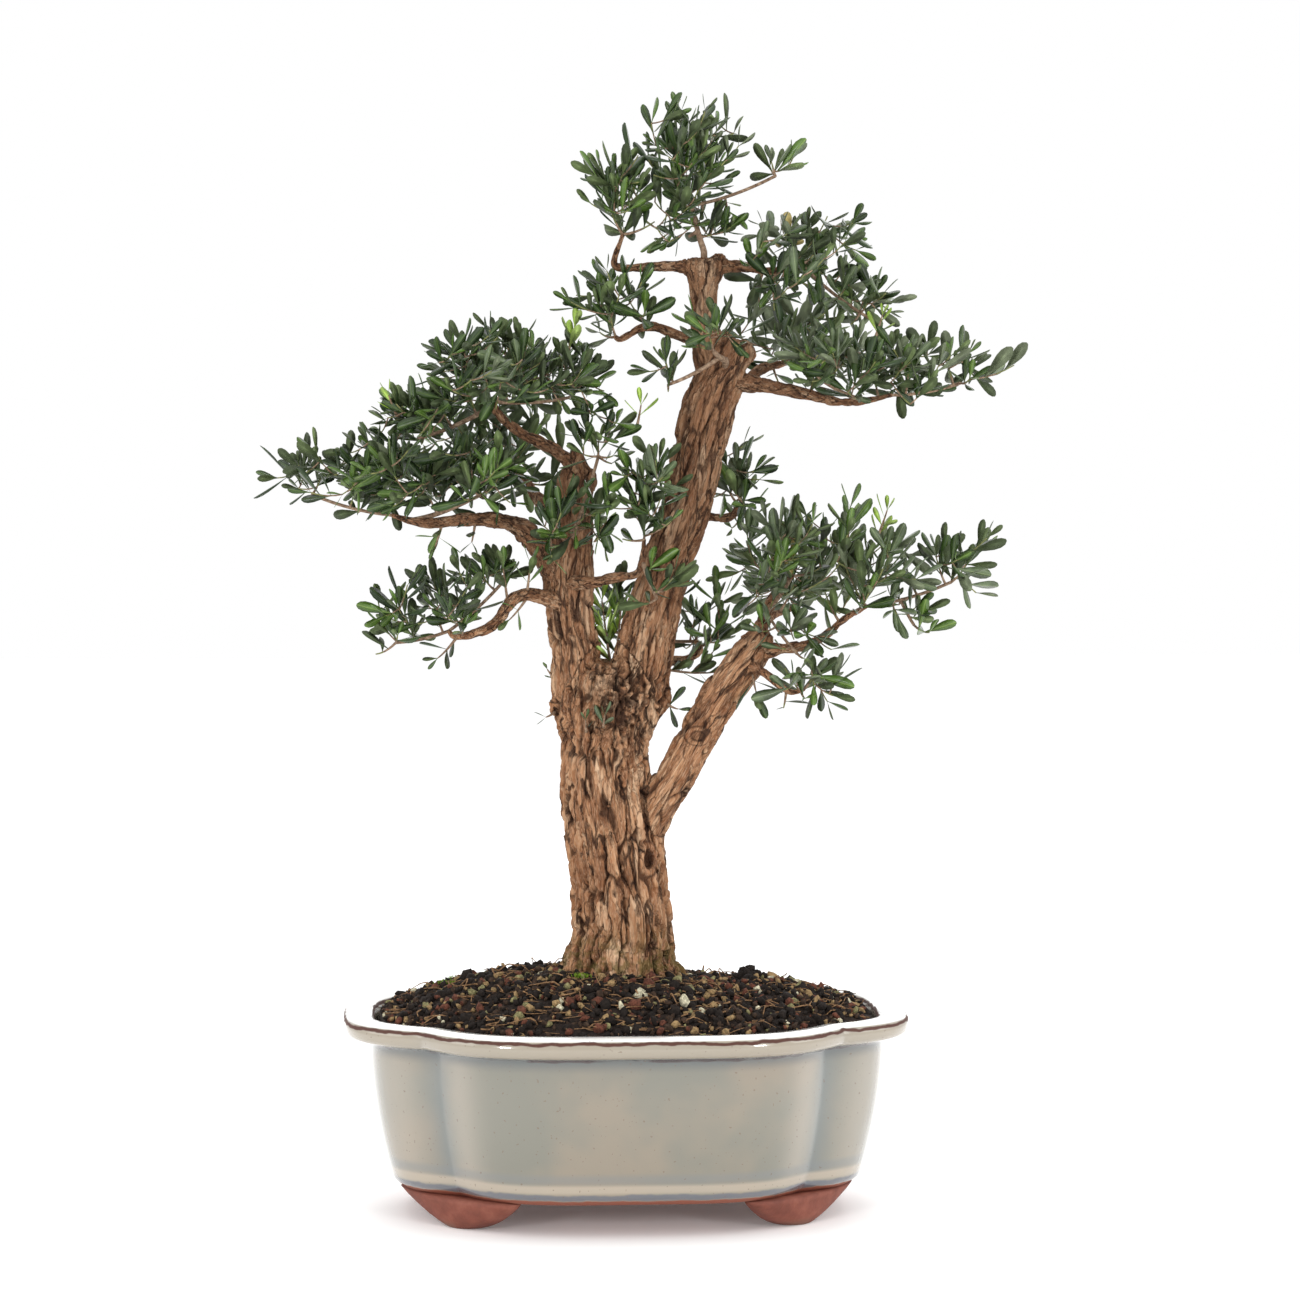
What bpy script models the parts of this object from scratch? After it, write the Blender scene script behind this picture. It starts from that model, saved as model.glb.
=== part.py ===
# Boxwood bonsai: a short trunk with three limbs, open pads of foliage, and a lobed
# glazed pot on four clay feet. Metres, +Z up, the front is towards -Y.
# The origin is on the ground, under the middle of the plant's box.

import math
import random

import bmesh
import bpy
import numpy as np
from mathutils import Matrix, Vector
from mathutils.bvhtree import BVHTree

GAP = 0.0003  # clear space between pieces that touch
WELD = 0.0000001  # points nearer than this count as one

# The pot's middle, seen from the middle of the whole plant's box.
POT_OFFSET = (-0.011, 0.0, 0.0)

POT_LENGTH = 0.350
POT_DEPTH = 0.280
POT_HEIGHT = 0.1215
FOOT_HEIGHT = 0.018
RIM_BAND = 0.015  # height of the overhanging rim
RIM_OVERHANG = 0.016
WALL = 0.0068
FLOOR = 0.009  # thickness of the pot's bottom
BODY_TAPER = 0.016  # how much narrower the body is at its foot, on each side
BODY_CURVE = 1.8  # higher keeps the wall upright for longer before it tapers
BODY_LEVELS = (0.22, 0.5, 0.78)  # height shares of the rings round the body
FOOT_ROUND = 0.005
# Height share of the rim's band, and inset, from its neck over the lip and inwards.
RIM_PROFILE = (
    (0.0, RIM_OVERHANG),
    (0.10, 0.0035),
    (0.30, 0.0),
    (0.73, 0.0),
    (0.95, 0.0025),
    (1.0, 0.008),
    (0.93, 0.0165),
    (0.73, 0.0195),
)
# The rounded corner inside: height above the floor, and how far it stands in.
INNER_CORNER = ((0.004, 0.002), (0.0, 0.008))

# Four lobes meet in grooves, at these shares of the half length and half depth.
GROOVE_ALONG = 0.73
GROOVE_ACROSS = 0.66
LOBE_POWER = 4.5  # higher is a squarer lobe
FRONT_LOBE_STEPS = 9
SIDE_LOBE_STEPS = 6

FOOT_HALF_LENGTH = 0.043
FOOT_HALF_WIDTH = 0.014
FOOT_PLACE = (0.0945, 0.0555)
FOOT_TURN = math.radians(47.0)
FOOT_SIDES = 10
FOOT_WIDTH_POWER = 0.25  # a foot narrows less across than along
# Height share and size share of each ring of a foot, from the ground up.
FOOT_PROFILE = ((0.0, 0.33), (0.12, 0.38), (0.55, 0.66), (1.0, 1.0))

SOIL_TOP = 0.150  # where the trunk stands
SOIL_EDGE = 0.1185  # along the pot's wall
SOIL_DOME_POWER = 1.7
SOIL_PAD_SHARE = 0.36  # level ground under the trunk, as a share of the soil's width
SOIL_RING_SHARES = (0.90, 0.74, 0.58, 0.44)
SOIL_LUMPS = 0.0021  # how far the soil's lumps stand out, and its hollows sink
SOIL_GAP = 1.4 * GAP  # between the soil and the sloping wall

SMOOTH_ANGLE = math.radians(42)

TRUNK_SIDES = 21
LIMB_SIDES = 11
BOUGH_SIDES = 6
TWIG_SIDES = 3

BARK_RIBS = 7  # that run up the trunk, with three sides of it to each
BARK_RIB_HEIGHT = 0.0014
RIB_TWIST = 3.0  # turns of the ribs, in radians for each metre of height
ROOT_FLUTE_DEPTH = 0.08
ROOT_FLUTE_HEIGHT = 0.020

# The trunk from the soil to its fork: x, y, z, then the half widths along X and Y.
TRUNK_COURSE = (
    (-0.0035, 0.0, SOIL_TOP + GAP, 0.0376, 0.0350),
    (-0.0035, 0.0, 0.158, 0.0340, 0.0325),
    (-0.0010, 0.0, 0.175, 0.0325, 0.0308),
    (-0.0022, 0.0, 0.193, 0.0308, 0.0296),
    (-0.0045, 0.0, 0.214, 0.0300, 0.0290),
    (-0.0075, 0.0, 0.240, 0.0312, 0.0285),
    (-0.0115, 0.0, 0.264, 0.0288, 0.0276),
    (-0.0130, 0.0, 0.287, 0.0273, 0.0266),
    (-0.0112, 0.0, 0.302, 0.0298, 0.0264),
    (-0.0088, 0.0, 0.318, 0.0384, 0.0266),
    (-0.0070, 0.0, 0.331, 0.0388, 0.0268),
)
FORK_HEIGHT = TRUNK_COURSE[-1][2]

# Each limb passes through x, y, z with a radius. The first two stand on the fork.
LIMB_COURSES = {
    "left_limb": (
        (-0.0290, 0.000, FORK_HEIGHT + GAP, 0.0158),
        (-0.0305, 0.000, 0.352, 0.0152),
        (-0.0332, 0.000, 0.372, 0.0152),
        (-0.0348, 0.000, 0.392, 0.0157),
        (-0.0340, 0.000, 0.412, 0.0145),
        (-0.0322, 0.001, 0.435, 0.0130),
        (-0.0312, 0.002, 0.458, 0.0123),
        (-0.0300, 0.002, 0.476, 0.0080),
    ),
    "centre_limb": (
        (0.0076, 0.000, FORK_HEIGHT + GAP, 0.0193),
        (0.0125, 0.000, 0.352, 0.0188),
        (0.0165, 0.000, 0.372, 0.0172),
        (0.0230, 0.001, 0.395, 0.0160),
        (0.0285, 0.002, 0.414, 0.0153),
        (0.0365, 0.003, 0.438, 0.0157),
        (0.0430, 0.003, 0.462, 0.0161),
        (0.0490, 0.003, 0.488, 0.0163),
        (0.0540, 0.003, 0.508, 0.0163),
        (0.0605, 0.002, 0.524, 0.0155),
        (0.0668, 0.001, 0.537, 0.0122),
        (0.0700, 0.000, 0.547, 0.0075),
    ),
    "right_limb": (
        (0.0060, -0.005, 0.229, 0.0100),
        (0.0195, -0.008, 0.255, 0.0120),
        (0.0320, -0.010, 0.275, 0.0118),
        (0.0450, -0.011, 0.298, 0.0117),
        (0.0585, -0.012, 0.321, 0.0120),
        (0.0700, -0.013, 0.339, 0.0117),
        (0.0795, -0.013, 0.353, 0.0120),
        (0.0858, -0.013, 0.363, 0.0090),
    ),
    "leader": (
        (0.0580, 0.002, 0.520, 0.0100),
        (0.0520, 0.002, 0.543, 0.0097),
        (0.0500, 0.002, 0.560, 0.0088),
        (0.0498, 0.002, 0.577, 0.0086),
        (0.0500, 0.001, 0.588, 0.0115),
        (0.0500, 0.000, 0.595, 0.0145),
        (0.0500, 0.000, 0.601, 0.0120),
    ),
}
STANDING_LIMBS = ("left_limb", "centre_limb")
LIMB_PARENTS = {"right_limb": "trunk", "leader": "centre_limb"}

# Each bough leaves its parent from inside it, and is cut clear of it.
BOUGHS = {
    "left_main_bough": ("left_limb", (
        (-0.0380, 0.000, 0.393, 0.0085),
        (-0.0470, -0.002, 0.409, 0.0096),
        (-0.0600, -0.005, 0.427, 0.0088),
        (-0.0730, -0.008, 0.435, 0.0072),
        (-0.0960, -0.012, 0.437, 0.0058),
        (-0.1180, -0.014, 0.4345, 0.0044),
    )),
    "left_top_bough": ("left_limb", (
        (-0.0300, 0.001, 0.466, 0.0042),
        (-0.0400, -0.001, 0.478, 0.0042),
        (-0.0530, -0.003, 0.4845, 0.0037),
        (-0.0670, -0.005, 0.491, 0.0033),
        (-0.0800, -0.006, 0.502, 0.0029),
    )),
    "left_low_bough": ("left_limb", (
        (-0.0380, -0.007, 0.383, 0.0055),
        (-0.0520, -0.010, 0.388, 0.0058),
        (-0.0650, -0.012, 0.390, 0.0054),
        (-0.0740, -0.013, 0.384, 0.0048),
        (-0.0790, -0.014, 0.373, 0.0042),
        (-0.0910, -0.015, 0.366, 0.0033),
        (-0.1060, -0.015, 0.3635, 0.0027),
    )),
    "inner_bough": ("left_limb", (
        (-0.0340, -0.007, 0.396, 0.0044),
        (-0.0300, -0.020, 0.3975, 0.0046),
        (-0.0180, -0.0245, 0.397, 0.0038),
        (-0.0050, -0.0255, 0.402, 0.0031),
        (0.0040, -0.0270, 0.401, 0.0026),
    )),
    "head_left_bough": ("leader", (
        (0.0440, 0.000, 0.594, 0.0036),
        (0.0320, -0.001, 0.595, 0.0035),
        (0.0190, -0.002, 0.5945, 0.0031),
        (0.0070, -0.002, 0.594, 0.0027),
        (-0.0060, -0.002, 0.593, 0.0023),
    )),
    "head_right_bough": ("leader", (
        (0.0560, 0.000, 0.594, 0.0040),
        (0.0670, -0.001, 0.596, 0.0039),
        (0.0780, -0.002, 0.594, 0.0033),
        (0.0870, -0.002, 0.592, 0.0027),
    )),
    "leader_left_bough": ("leader", (
        (0.0490, 0.000, 0.5475, 0.0034),
        (0.0390, -0.002, 0.549, 0.0033),
        (0.0240, -0.005, 0.5555, 0.0029),
        (0.0130, -0.007, 0.559, 0.0027),
        (0.0040, -0.008, 0.553, 0.0024),
        (-0.0030, -0.009, 0.548, 0.0021),
    )),
    "upper_right_bough": ("centre_limb", (
        (0.0640, 0.000, 0.524, 0.0068),
        (0.0800, -0.002, 0.5215, 0.0073),
        (0.0950, -0.004, 0.519, 0.0063),
        (0.1120, -0.006, 0.5155, 0.0052),
        (0.1300, -0.008, 0.5105, 0.0038),
    )),
    "centre_right_bough": ("centre_limb", (
        (0.0370, 0.004, 0.4375, 0.0034),
        (0.0560, 0.012, 0.438, 0.0032),
        (0.0660, 0.018, 0.435, 0.0027),
        (0.0740, 0.024, 0.440, 0.0023),
    )),
    "right_low_bough": ("right_limb", (
        (0.0800, -0.014, 0.3535, 0.0050),
        (0.0940, -0.018, 0.355, 0.0048),
        (0.1060, -0.019, 0.356, 0.0042),
        (0.1170, -0.019, 0.358, 0.0037),
        (0.1270, -0.019, 0.364, 0.0031),
        (0.1340, -0.019, 0.372, 0.0026),
    )),
    "right_back_bough": ("right_limb", (
        (0.0810, -0.009, 0.354, 0.0046),
        (0.0870, 0.001, 0.369, 0.0044),
        (0.0920, 0.007, 0.382, 0.0038),
        (0.0970, 0.010, 0.391, 0.0031),
    )),
    "right_droop_bough": ("right_limb", (
        (0.0760, -0.018, 0.345, 0.0034),
        (0.0840, -0.028, 0.343, 0.0032),
        (0.0920, -0.033, 0.336, 0.0027),
        (0.0990, -0.035, 0.329, 0.0022),
    )),
    "rear_low_bough": ("centre_limb", (
        (0.0150, 0.006, 0.349, 0.0040),
        (0.0270, 0.022, 0.346, 0.0038),
        (0.0400, 0.032, 0.3445, 0.0032),
        (0.0510, 0.038, 0.350, 0.0027),
    )),
    "rear_left_bough": ("left_limb", (
        (-0.0330, 0.006, 0.424, 0.0050),
        (-0.0400, 0.023, 0.434, 0.0050),
        (-0.0510, 0.041, 0.446, 0.0042),
        (-0.0610, 0.056, 0.459, 0.0033),
    )),
    "rear_right_bough": ("centre_limb", (
        (0.0570, 0.009, 0.510, 0.0050),
        (0.0680, 0.028, 0.516, 0.0048),
        (0.0800, 0.044, 0.523, 0.0040),
        (0.0900, 0.056, 0.531, 0.0032),
    )),
    "rear_bottom_bough": ("right_limb", (
        (0.0700, -0.007, 0.337, 0.0044),
        (0.0760, 0.012, 0.345, 0.0042),
        (0.0850, 0.030, 0.358, 0.0036),
        (0.0950, 0.045, 0.371, 0.0029),
    )),
}

# Each mass of foliage: what its stem grows from, and the lobes of its space, as a
# middle and half widths. A stem on a bough or the leader starts at its tip.
MASSES = {
    "apex_mass": ("leader", (
        ((0.044, 0.000, 0.675), (0.041, 0.054, 0.052)),
        ((0.095, 0.000, 0.659), (0.028, 0.028, 0.021)),
        ((0.035, 0.000, 0.626), (0.031, 0.038, 0.027)),
    )),
    "apex_left_mass": ("head_left_bough", (
        ((-0.008, 0.000, 0.633), (0.036, 0.046, 0.042)),
    )),
    "upper_right_mass": ("head_right_bough", (
        ((0.111, -0.002, 0.594), (0.048, 0.064, 0.044)),
        ((0.154, -0.004, 0.572), (0.030, 0.042, 0.027)),
    )),
    "right_shelf_mass": ("upper_right_bough", (
        ((0.168, -0.008, 0.533), (0.044, 0.064, 0.031)),
        ((0.120, -0.018, 0.539), (0.036, 0.056, 0.030)),
        ((0.219, -0.004, 0.532), (0.042, 0.042, 0.028)),
    )),
    "upper_left_mass": ("leader_left_bough", (
        ((-0.011, -0.006, 0.569), (0.037, 0.043, 0.030)),
    )),
    "left_top_mass": ("left_top_bough", (
        ((-0.083, -0.004, 0.523), (0.049, 0.074, 0.039)),
        ((-0.036, -0.008, 0.524), (0.034, 0.052, 0.033)),
        ((-0.122, -0.004, 0.503), (0.031, 0.052, 0.030)),
    )),
    "left_outer_mass": ("left_main_bough", (
        ((-0.144, -0.008, 0.459), (0.046, 0.070, 0.035)),
        ((-0.092, -0.016, 0.463), (0.038, 0.060, 0.033)),
        ((-0.202, -0.008, 0.459), (0.040, 0.046, 0.032)),
    )),
    "left_front_mass": ("left_limb", (
        ((-0.032, -0.046, 0.434), (0.038, 0.034, 0.036)),
        ((-0.016, -0.032, 0.486), (0.025, 0.028, 0.028)),
    )),
    "lower_left_mass": ("left_low_bough", (
        ((-0.111, -0.010, 0.383), (0.044, 0.056, 0.031)),
        ((-0.147, -0.010, 0.369), (0.029, 0.038, 0.028)),
        ((-0.077, -0.002, 0.403), (0.026, 0.034, 0.018)),
    )),
    "centre_mass": ("inner_bough", (
        ((0.013, -0.040, 0.444), (0.033, 0.032, 0.040)),
        ((0.018, -0.038, 0.397), (0.029, 0.027, 0.026)),
    )),
    "centre_right_mass": ("centre_right_bough", (
        ((0.083, 0.026, 0.464), (0.032, 0.038, 0.037)),
    )),
    "right_inner_mass": ("right_back_bough", (
        ((0.107, 0.000, 0.416), (0.043, 0.062, 0.041)),
        ((0.088, -0.022, 0.387), (0.031, 0.036, 0.026)),
    )),
    "right_outer_mass": ("right_low_bough", (
        ((0.152, -0.010, 0.406), (0.038, 0.060, 0.041)),
        ((0.211, -0.008, 0.409), (0.044, 0.044, 0.030)),
        ((0.182, -0.012, 0.377), (0.028, 0.036, 0.021)),
    )),
    "right_droop_mass": ("right_droop_bough", (
        ((0.110, -0.036, 0.331), (0.040, 0.032, 0.024)),
    )),
    "rear_low_mass": ("rear_low_bough", (
        ((0.048, 0.044, 0.367), (0.037, 0.034, 0.040)),
        ((-0.004, 0.042, 0.375), (0.023, 0.028, 0.034)),
    )),
    "rear_left_mass": ("rear_left_bough", (
        ((-0.080, 0.088, 0.478), (0.060, 0.044, 0.044)),
    )),
    "rear_right_mass": ("rear_right_bough", (
        ((0.118, 0.084, 0.550), (0.056, 0.044, 0.044)),
    )),
    "rear_bottom_mass": ("rear_bottom_bough", (
        ((0.118, 0.078, 0.396), (0.052, 0.042, 0.038)),
    )),
    "knob_mass": ("centre_limb", (
        ((0.053, -0.042, 0.550), (0.029, 0.030, 0.029)),
        ((0.026, -0.022, 0.529), (0.022, 0.024, 0.024)),
    )),
}

# A stem that grows from the side of a limb starts here, inside the limb.
SIDE_STEMS = {
    "left_front_mass": ((-0.032, -0.004, 0.424), (-0.033, -0.024, 0.430)),
    "knob_mass": ((0.063, -0.003, 0.530), (0.062, -0.021, 0.536)),
}

STEM_RADIUS = 0.0024
TWIG_RADIUS = 0.0016
TWIG_TIP_RADIUS = 0.0011
TWIG_ROOT_SHARE = 0.34  # a shoot's sunk root, as a share of what it grows from
STRAIGHT_SHOOT = 0.024  # a shorter one has no bend
TWIG_SAG = 0.14  # how far a shoot dips before it turns up, by its length
STEM_SAG = 0.08
STEM_STEPS = 2  # straight runs in the bend of a stem, after its knee
BRANCH_STEPS = 3  # the same in a branch of it
STEM_KNEE = 0.004  # the least straight run of a stem from its bough's tip
STEM_RISE = 0.005  # how far a stem rises from there, at the least
STEM_END_DEPTH = 0.60  # how far under a lobe's middle a stem ends, by its half height
BRANCH_END_DEPTH = 0.35  # the same for a stem's branches into the other lobes
BARE_STOPS = 3  # of a stem, from its foot up, where no branch of it starts
SHORTEST_SHOOT = 0.008
FEWEST_SHOOTS = 3  # in a lobe
BARE_SAMPLES = 4  # of a stem's finer places, from its foot up, where no shoot starts
SAMPLES_PER_STRETCH = 4
PROBES_PER_STRETCH = 3  # tested for space
# The lowest and highest shoots of a lobe end at these heights, by its wood's half height.
LOWEST_RISE = -0.35
HIGHEST_RISE = 0.95
UNDERSIDE_SHARE = 0.75  # how deep a lobe's wood is below its middle
SHOOT_SCATTER = 0.08
INNER_SHOOT_EVERY = 3  # every third shoot stays inside, and fills the lobe
INNER_SHOOT_REACH = 0.55
SKIN_POWER = 1.6075  # that gives the skin of an ellipsoid from its half widths
SPACE_PER_SHOOT = 0.0026  # square metres round a lobe's wood for each shoot
LIMB_CLEARANCE = 0.0026
TWIG_CLEARANCE = 0.0022
CELL_MARGIN = 0.0028  # space left between two masses

LEAF_LENGTH = 0.033
LEAF_WIDTH = 0.0142
LEAF_THICKNESS = 0.0012
LEAF_WIDEST = 0.62  # share of the length where a leaf is widest
LEAF_REACH = 0.62  # share of its length that a leaf adds beyond its shoot
LEAST_WOOD_SHARE = 0.42  # of a small lobe's half width that its shoots reach
LEAF_PITCH = math.radians(50)
TIP_LEAF_PITCH = math.radians(28)
# Where a leaf meets something, it is tried again more upright and smaller.
LEAF_TRIES = ((1.0, 1.0), (0.55, 0.92), (1.45, 0.85), (0.2, 0.8), (1.2, 0.7), (0.7, 0.65))
LEAF_LIFT = 0.22  # how much each leaf turns up to the light
LEAF_SIZES = (0.84, 1.12)
LEAF_SINK = 0.6  # how deep a leaf's root lies in its shoot, by the shoot's radius
LEAF_PROBES = (0.3, 0.82)  # shares of a leaf's length that are tested for space
PITCH_SCATTER = 0.12
LEAFY_SHARE = 0.85  # of a shoot, from its tip down
NODE_SPACING = 0.0085  # between two leaf pairs on a shoot
PAIRS_PER_SHOOT = 4
LEAF_SPACING = 0.0075  # between the middles of two leaves
GOLDEN_TURN = math.radians(137.508)
SEED = 3
SEED_TRIES = 6

BARK_COLOUR = (0.36, 0.23, 0.15)
LEAF_COLOUR = (0.055, 0.115, 0.045)
GLAZE_COLOUR = (0.60, 0.60, 0.52)
CLAY_COLOUR = (0.45, 0.15, 0.09)
SOIL_COLOUR = (0.035, 0.024, 0.019)


def clear_scene():
    for item in list(bpy.data.objects):
        bpy.data.objects.remove(item)


def make_material(name, colour, roughness):
    material = bpy.data.materials.new(name)
    material.use_nodes = True
    shader = material.node_tree.nodes["Principled BSDF"]
    shader.inputs["Base Color"].default_value = (*colour, 1.0)
    shader.inputs["Roughness"].default_value = roughness
    shader.inputs["Metallic"].default_value = 0.0
    return material


def add_object(name, vertices, faces, collection=None):
    mesh = bpy.data.meshes.new(name)
    mesh.from_pydata(vertices, [], faces)
    mesh.update()
    item = bpy.data.objects.new(name, mesh)
    (collection or bpy.context.scene.collection).objects.link(item)
    return item


def finish_piece(item, material, parent, smooth_angle=None):
    item.data.materials.clear()
    item.data.materials.append(material)
    item.parent = parent
    if smooth_angle is not None:
        item.data.shade_smooth()
        item.data.set_sharp_from_angle(angle=smooth_angle)


def ring_shell(rings):
    """Vertices and triangles of a closed tube through rings, with flat ends."""
    sides = len(rings[0])
    vertices = [point for ring in rings for point in ring]
    faces = []
    for level in range(len(rings) - 1):
        for side in range(sides):
            low = level * sides + side
            low_next = level * sides + (side + 1) % sides
            faces.append((low, low_next, low_next + sides))
            faces.append((low, low_next + sides, low + sides))
    last = (len(rings) - 1) * sides
    faces.append(tuple(reversed(range(sides))))
    faces.append(tuple(range(last, last + sides)))
    return vertices, faces


# The pot, its feet and the soil

def lobe_share(step, steps):
    """Where a step lies across a lobe, from -1 to 1, closer together at the grooves."""
    return math.sin(math.radians(90) * (2.0 * step / steps - 1.0))


def lobed_outline(inset, height, share=1.0):
    """The pot's outline, anticlockwise from the right front groove."""
    half_length = (POT_LENGTH / 2 - inset) * share
    half_depth = (POT_DEPTH / 2 - inset) * share
    groove_x = GROOVE_ALONG * half_length
    groove_y = GROOVE_ACROSS * half_depth
    side_bulge = half_length - groove_x
    front_bulge = half_depth - groove_y
    right = []
    for step in range(SIDE_LOBE_STEPS):
        across = lobe_share(step, SIDE_LOBE_STEPS)
        out = side_bulge * (1.0 - abs(across) ** LOBE_POWER)
        right.append((groove_x + out, groove_y * across))
    back = []
    for step in range(FRONT_LOBE_STEPS):
        along = lobe_share(step, FRONT_LOBE_STEPS)
        out = front_bulge * (1.0 - abs(along) ** LOBE_POWER)
        back.append((-groove_x * along, groove_y + out))
    half = right + back
    outline = half + [(-x, -y) for x, y in half]
    return [Vector((x, y, height)) for x, y in outline]


def body_inset(height):
    """How far the pot's outer wall stands in from the rim, at a height."""
    top = POT_HEIGHT - RIM_BAND
    share = (top - height) / (top - FOOT_HEIGHT)
    return RIM_OVERHANG + BODY_TAPER * share ** BODY_CURVE


def inner_levels():
    """Height and inset of the pot's inner wall, from the top down."""
    floor = FOOT_HEIGHT + FLOOR
    top = POT_HEIGHT - RIM_BAND
    levels = [(top, body_inset(top) + WALL)]
    height = (floor + top) / 2
    levels.append((height, body_inset(height) + WALL))
    for rise, step_in in INNER_CORNER:
        levels.append((floor + rise, body_inset(floor) + WALL + step_in))
    return levels


def build_pot(material, parent):
    neck = POT_HEIGHT - RIM_BAND
    foot = FOOT_HEIGHT
    levels = [(foot, body_inset(foot) + FOOT_ROUND), (foot + FOOT_ROUND, body_inset(foot))]
    for share in BODY_LEVELS:
        height = foot + (neck - foot) * share
        levels.append((height, body_inset(height)))
    for share, inset in RIM_PROFILE:
        levels.append((neck + RIM_BAND * share, inset))
    rings = [lobed_outline(inset, height) for height, inset in levels + inner_levels()]
    pot = add_object("pot", *ring_shell(rings))
    finish_piece(pot, material, parent, SMOOTH_ANGLE)


def soil_height(share):
    """The soil's height at a share of the way from the middle to the wall."""
    if share <= SOIL_PAD_SHARE:
        return SOIL_TOP
    slope = (share - SOIL_PAD_SHARE) / (1.0 - SOIL_PAD_SHARE)
    return SOIL_TOP - (SOIL_TOP - SOIL_EDGE) * slope ** SOIL_DOME_POWER


def build_soil(material, parent):
    rng = random.Random(SEED)
    levels = inner_levels()
    rings = []
    for height, inset in reversed(levels):
        lift = GAP if height == levels[-1][0] else 0.0
        rings.append(lobed_outline(inset + SOIL_GAP, height + lift))
    rings.append(lobed_outline(levels[0][1] + SOIL_GAP, SOIL_EDGE))
    for share in SOIL_RING_SHARES:
        ring = lobed_outline(levels[0][1] + SOIL_GAP, soil_height(share), share)
        for point in ring:
            point.z += rng.uniform(-SOIL_LUMPS, SOIL_LUMPS)
        rings.append(ring)
    rings.append(lobed_outline(levels[0][1] + SOIL_GAP, SOIL_TOP, SOIL_PAD_SHARE))
    soil = add_object("soil", *ring_shell(rings))
    finish_piece(soil, material, parent)


def build_feet(material, parent):
    rings = []
    for height_share, size_share in FOOT_PROFILE:
        ring = []
        for side in range(FOOT_SIDES):
            angle = 2 * math.pi * (side + 0.5) / FOOT_SIDES
            x = FOOT_HALF_LENGTH * size_share * math.cos(angle)
            y = FOOT_HALF_WIDTH * size_share ** FOOT_WIDTH_POWER * math.sin(angle)
            ring.append(Vector((x, y, (FOOT_HEIGHT - GAP) * height_share)))
        rings.append(ring)
    vertices, faces = ring_shell(rings)
    for side_name, side in (("left", -1), ("right", 1)):
        for end_name, end in (("front", -1), ("back", 1)):
            foot = add_object(f"foot_{end_name}_{side_name}", vertices, faces)
            foot.location = (side * FOOT_PLACE[0], end * FOOT_PLACE[1], 0.0)
            foot.rotation_euler.z = -side * end * FOOT_TURN
            finish_piece(foot, material, parent, SMOOTH_ANGLE)


# The wood

def limb_rings(course, sides, grow=0.0, level_foot=False):
    """Rings round a limb's course, each square to the way it runs."""
    places = [Vector(stop[:3]) for stop in course]
    radii = [stop[3] for stop in course]
    count = len(places)
    ways = []
    for index in range(count):
        before = places[max(index - 1, 0)]
        after = places[min(index + 1, count - 1)]
        ways.append((after - before).normalized())
    if level_foot:
        ways[0] = Vector((0.0, 0.0, 1.0))
    if grow:
        places[0] = places[0] - ways[0] * GAP
        places[-1] = places[-1] + ways[-1] * GAP
    across = ways[0].orthogonal().normalized()
    rings = []
    for index in range(count):
        if index:
            across.rotate(ways[index - 1].rotation_difference(ways[index]))
        up = ways[index].cross(across)
        radius = radii[index] + grow
        ring = []
        for side in range(sides):
            angle = 2 * math.pi * side / sides
            ring.append(places[index] + (across * math.cos(angle) + up * math.sin(angle)) * radius)
        rings.append(ring)
    return rings


def trunk_rings(grow=0.0):
    """Rings of the trunk, ribbed, with the ribs deeper where it flares into its roots."""
    rings = []
    for x, y, z, half_x, half_y in TRUNK_COURSE:
        flare = ROOT_FLUTE_DEPTH * math.exp(-(z - SOIL_TOP) / ROOT_FLUTE_HEIGHT)
        ring = []
        for side in range(TRUNK_SIDES):
            angle = 2 * math.pi * side / TRUNK_SIDES
            wave = math.cos(BARK_RIBS * (angle + RIB_TWIST * (z - SOIL_TOP)))
            out_x = half_x * (1.0 + flare * wave) + BARK_RIB_HEIGHT * wave + grow
            out_y = half_y * (1.0 + flare * wave) + BARK_RIB_HEIGHT * wave + grow
            out_x *= math.cos(angle)
            out_y *= math.sin(angle)
            ring.append(Vector((x + out_x, y + out_y, z)))
        rings.append(ring)
    return rings


def full_gap(sides):
    """How much to grow a ring's corners so that its flats move out by the gap."""
    return GAP / math.cos(math.pi / sides)


def add_cutter(name, rings):
    cutter = add_object(f"{name}_clearance", *ring_shell(rings))
    cutter.hide_render = True
    cutter.display_type = "WIRE"
    return cutter


def cut_clear(item, cutter):
    cut = item.modifiers.new("cut_clear", "BOOLEAN")
    cut.operation = "DIFFERENCE"
    cut.object = cutter


def build_wood(material, parent):
    """The trunk, limbs and boughs, with a hidden cutter for each piece that carries."""
    cutters = {"trunk": add_cutter("trunk", trunk_rings(full_gap(TRUNK_SIDES)))}
    trunk = add_object("trunk", *ring_shell(trunk_rings()))
    finish_piece(trunk, material, parent, SMOOTH_ANGLE)
    cutters["trunk"].parent = parent
    for name, course in LIMB_COURSES.items():
        level = name in STANDING_LIMBS
        limb = add_object(name, *ring_shell(limb_rings(course, LIMB_SIDES, level_foot=level)))
        finish_piece(limb, material, parent, SMOOTH_ANGLE)
        grown = limb_rings(course, LIMB_SIDES, full_gap(LIMB_SIDES), level)
        cutters[name] = add_cutter(name, grown)
        cutters[name].parent = parent
        if name in LIMB_PARENTS:
            cut_clear(limb, cutters[LIMB_PARENTS[name]])
    for name, (carrier, course) in BOUGHS.items():
        bough = add_object(name, *ring_shell(limb_rings(course, BOUGH_SIDES)))
        finish_piece(bough, material, parent, SMOOTH_ANGLE)
        cut_clear(bough, cutters[carrier])
    return cutters


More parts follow.
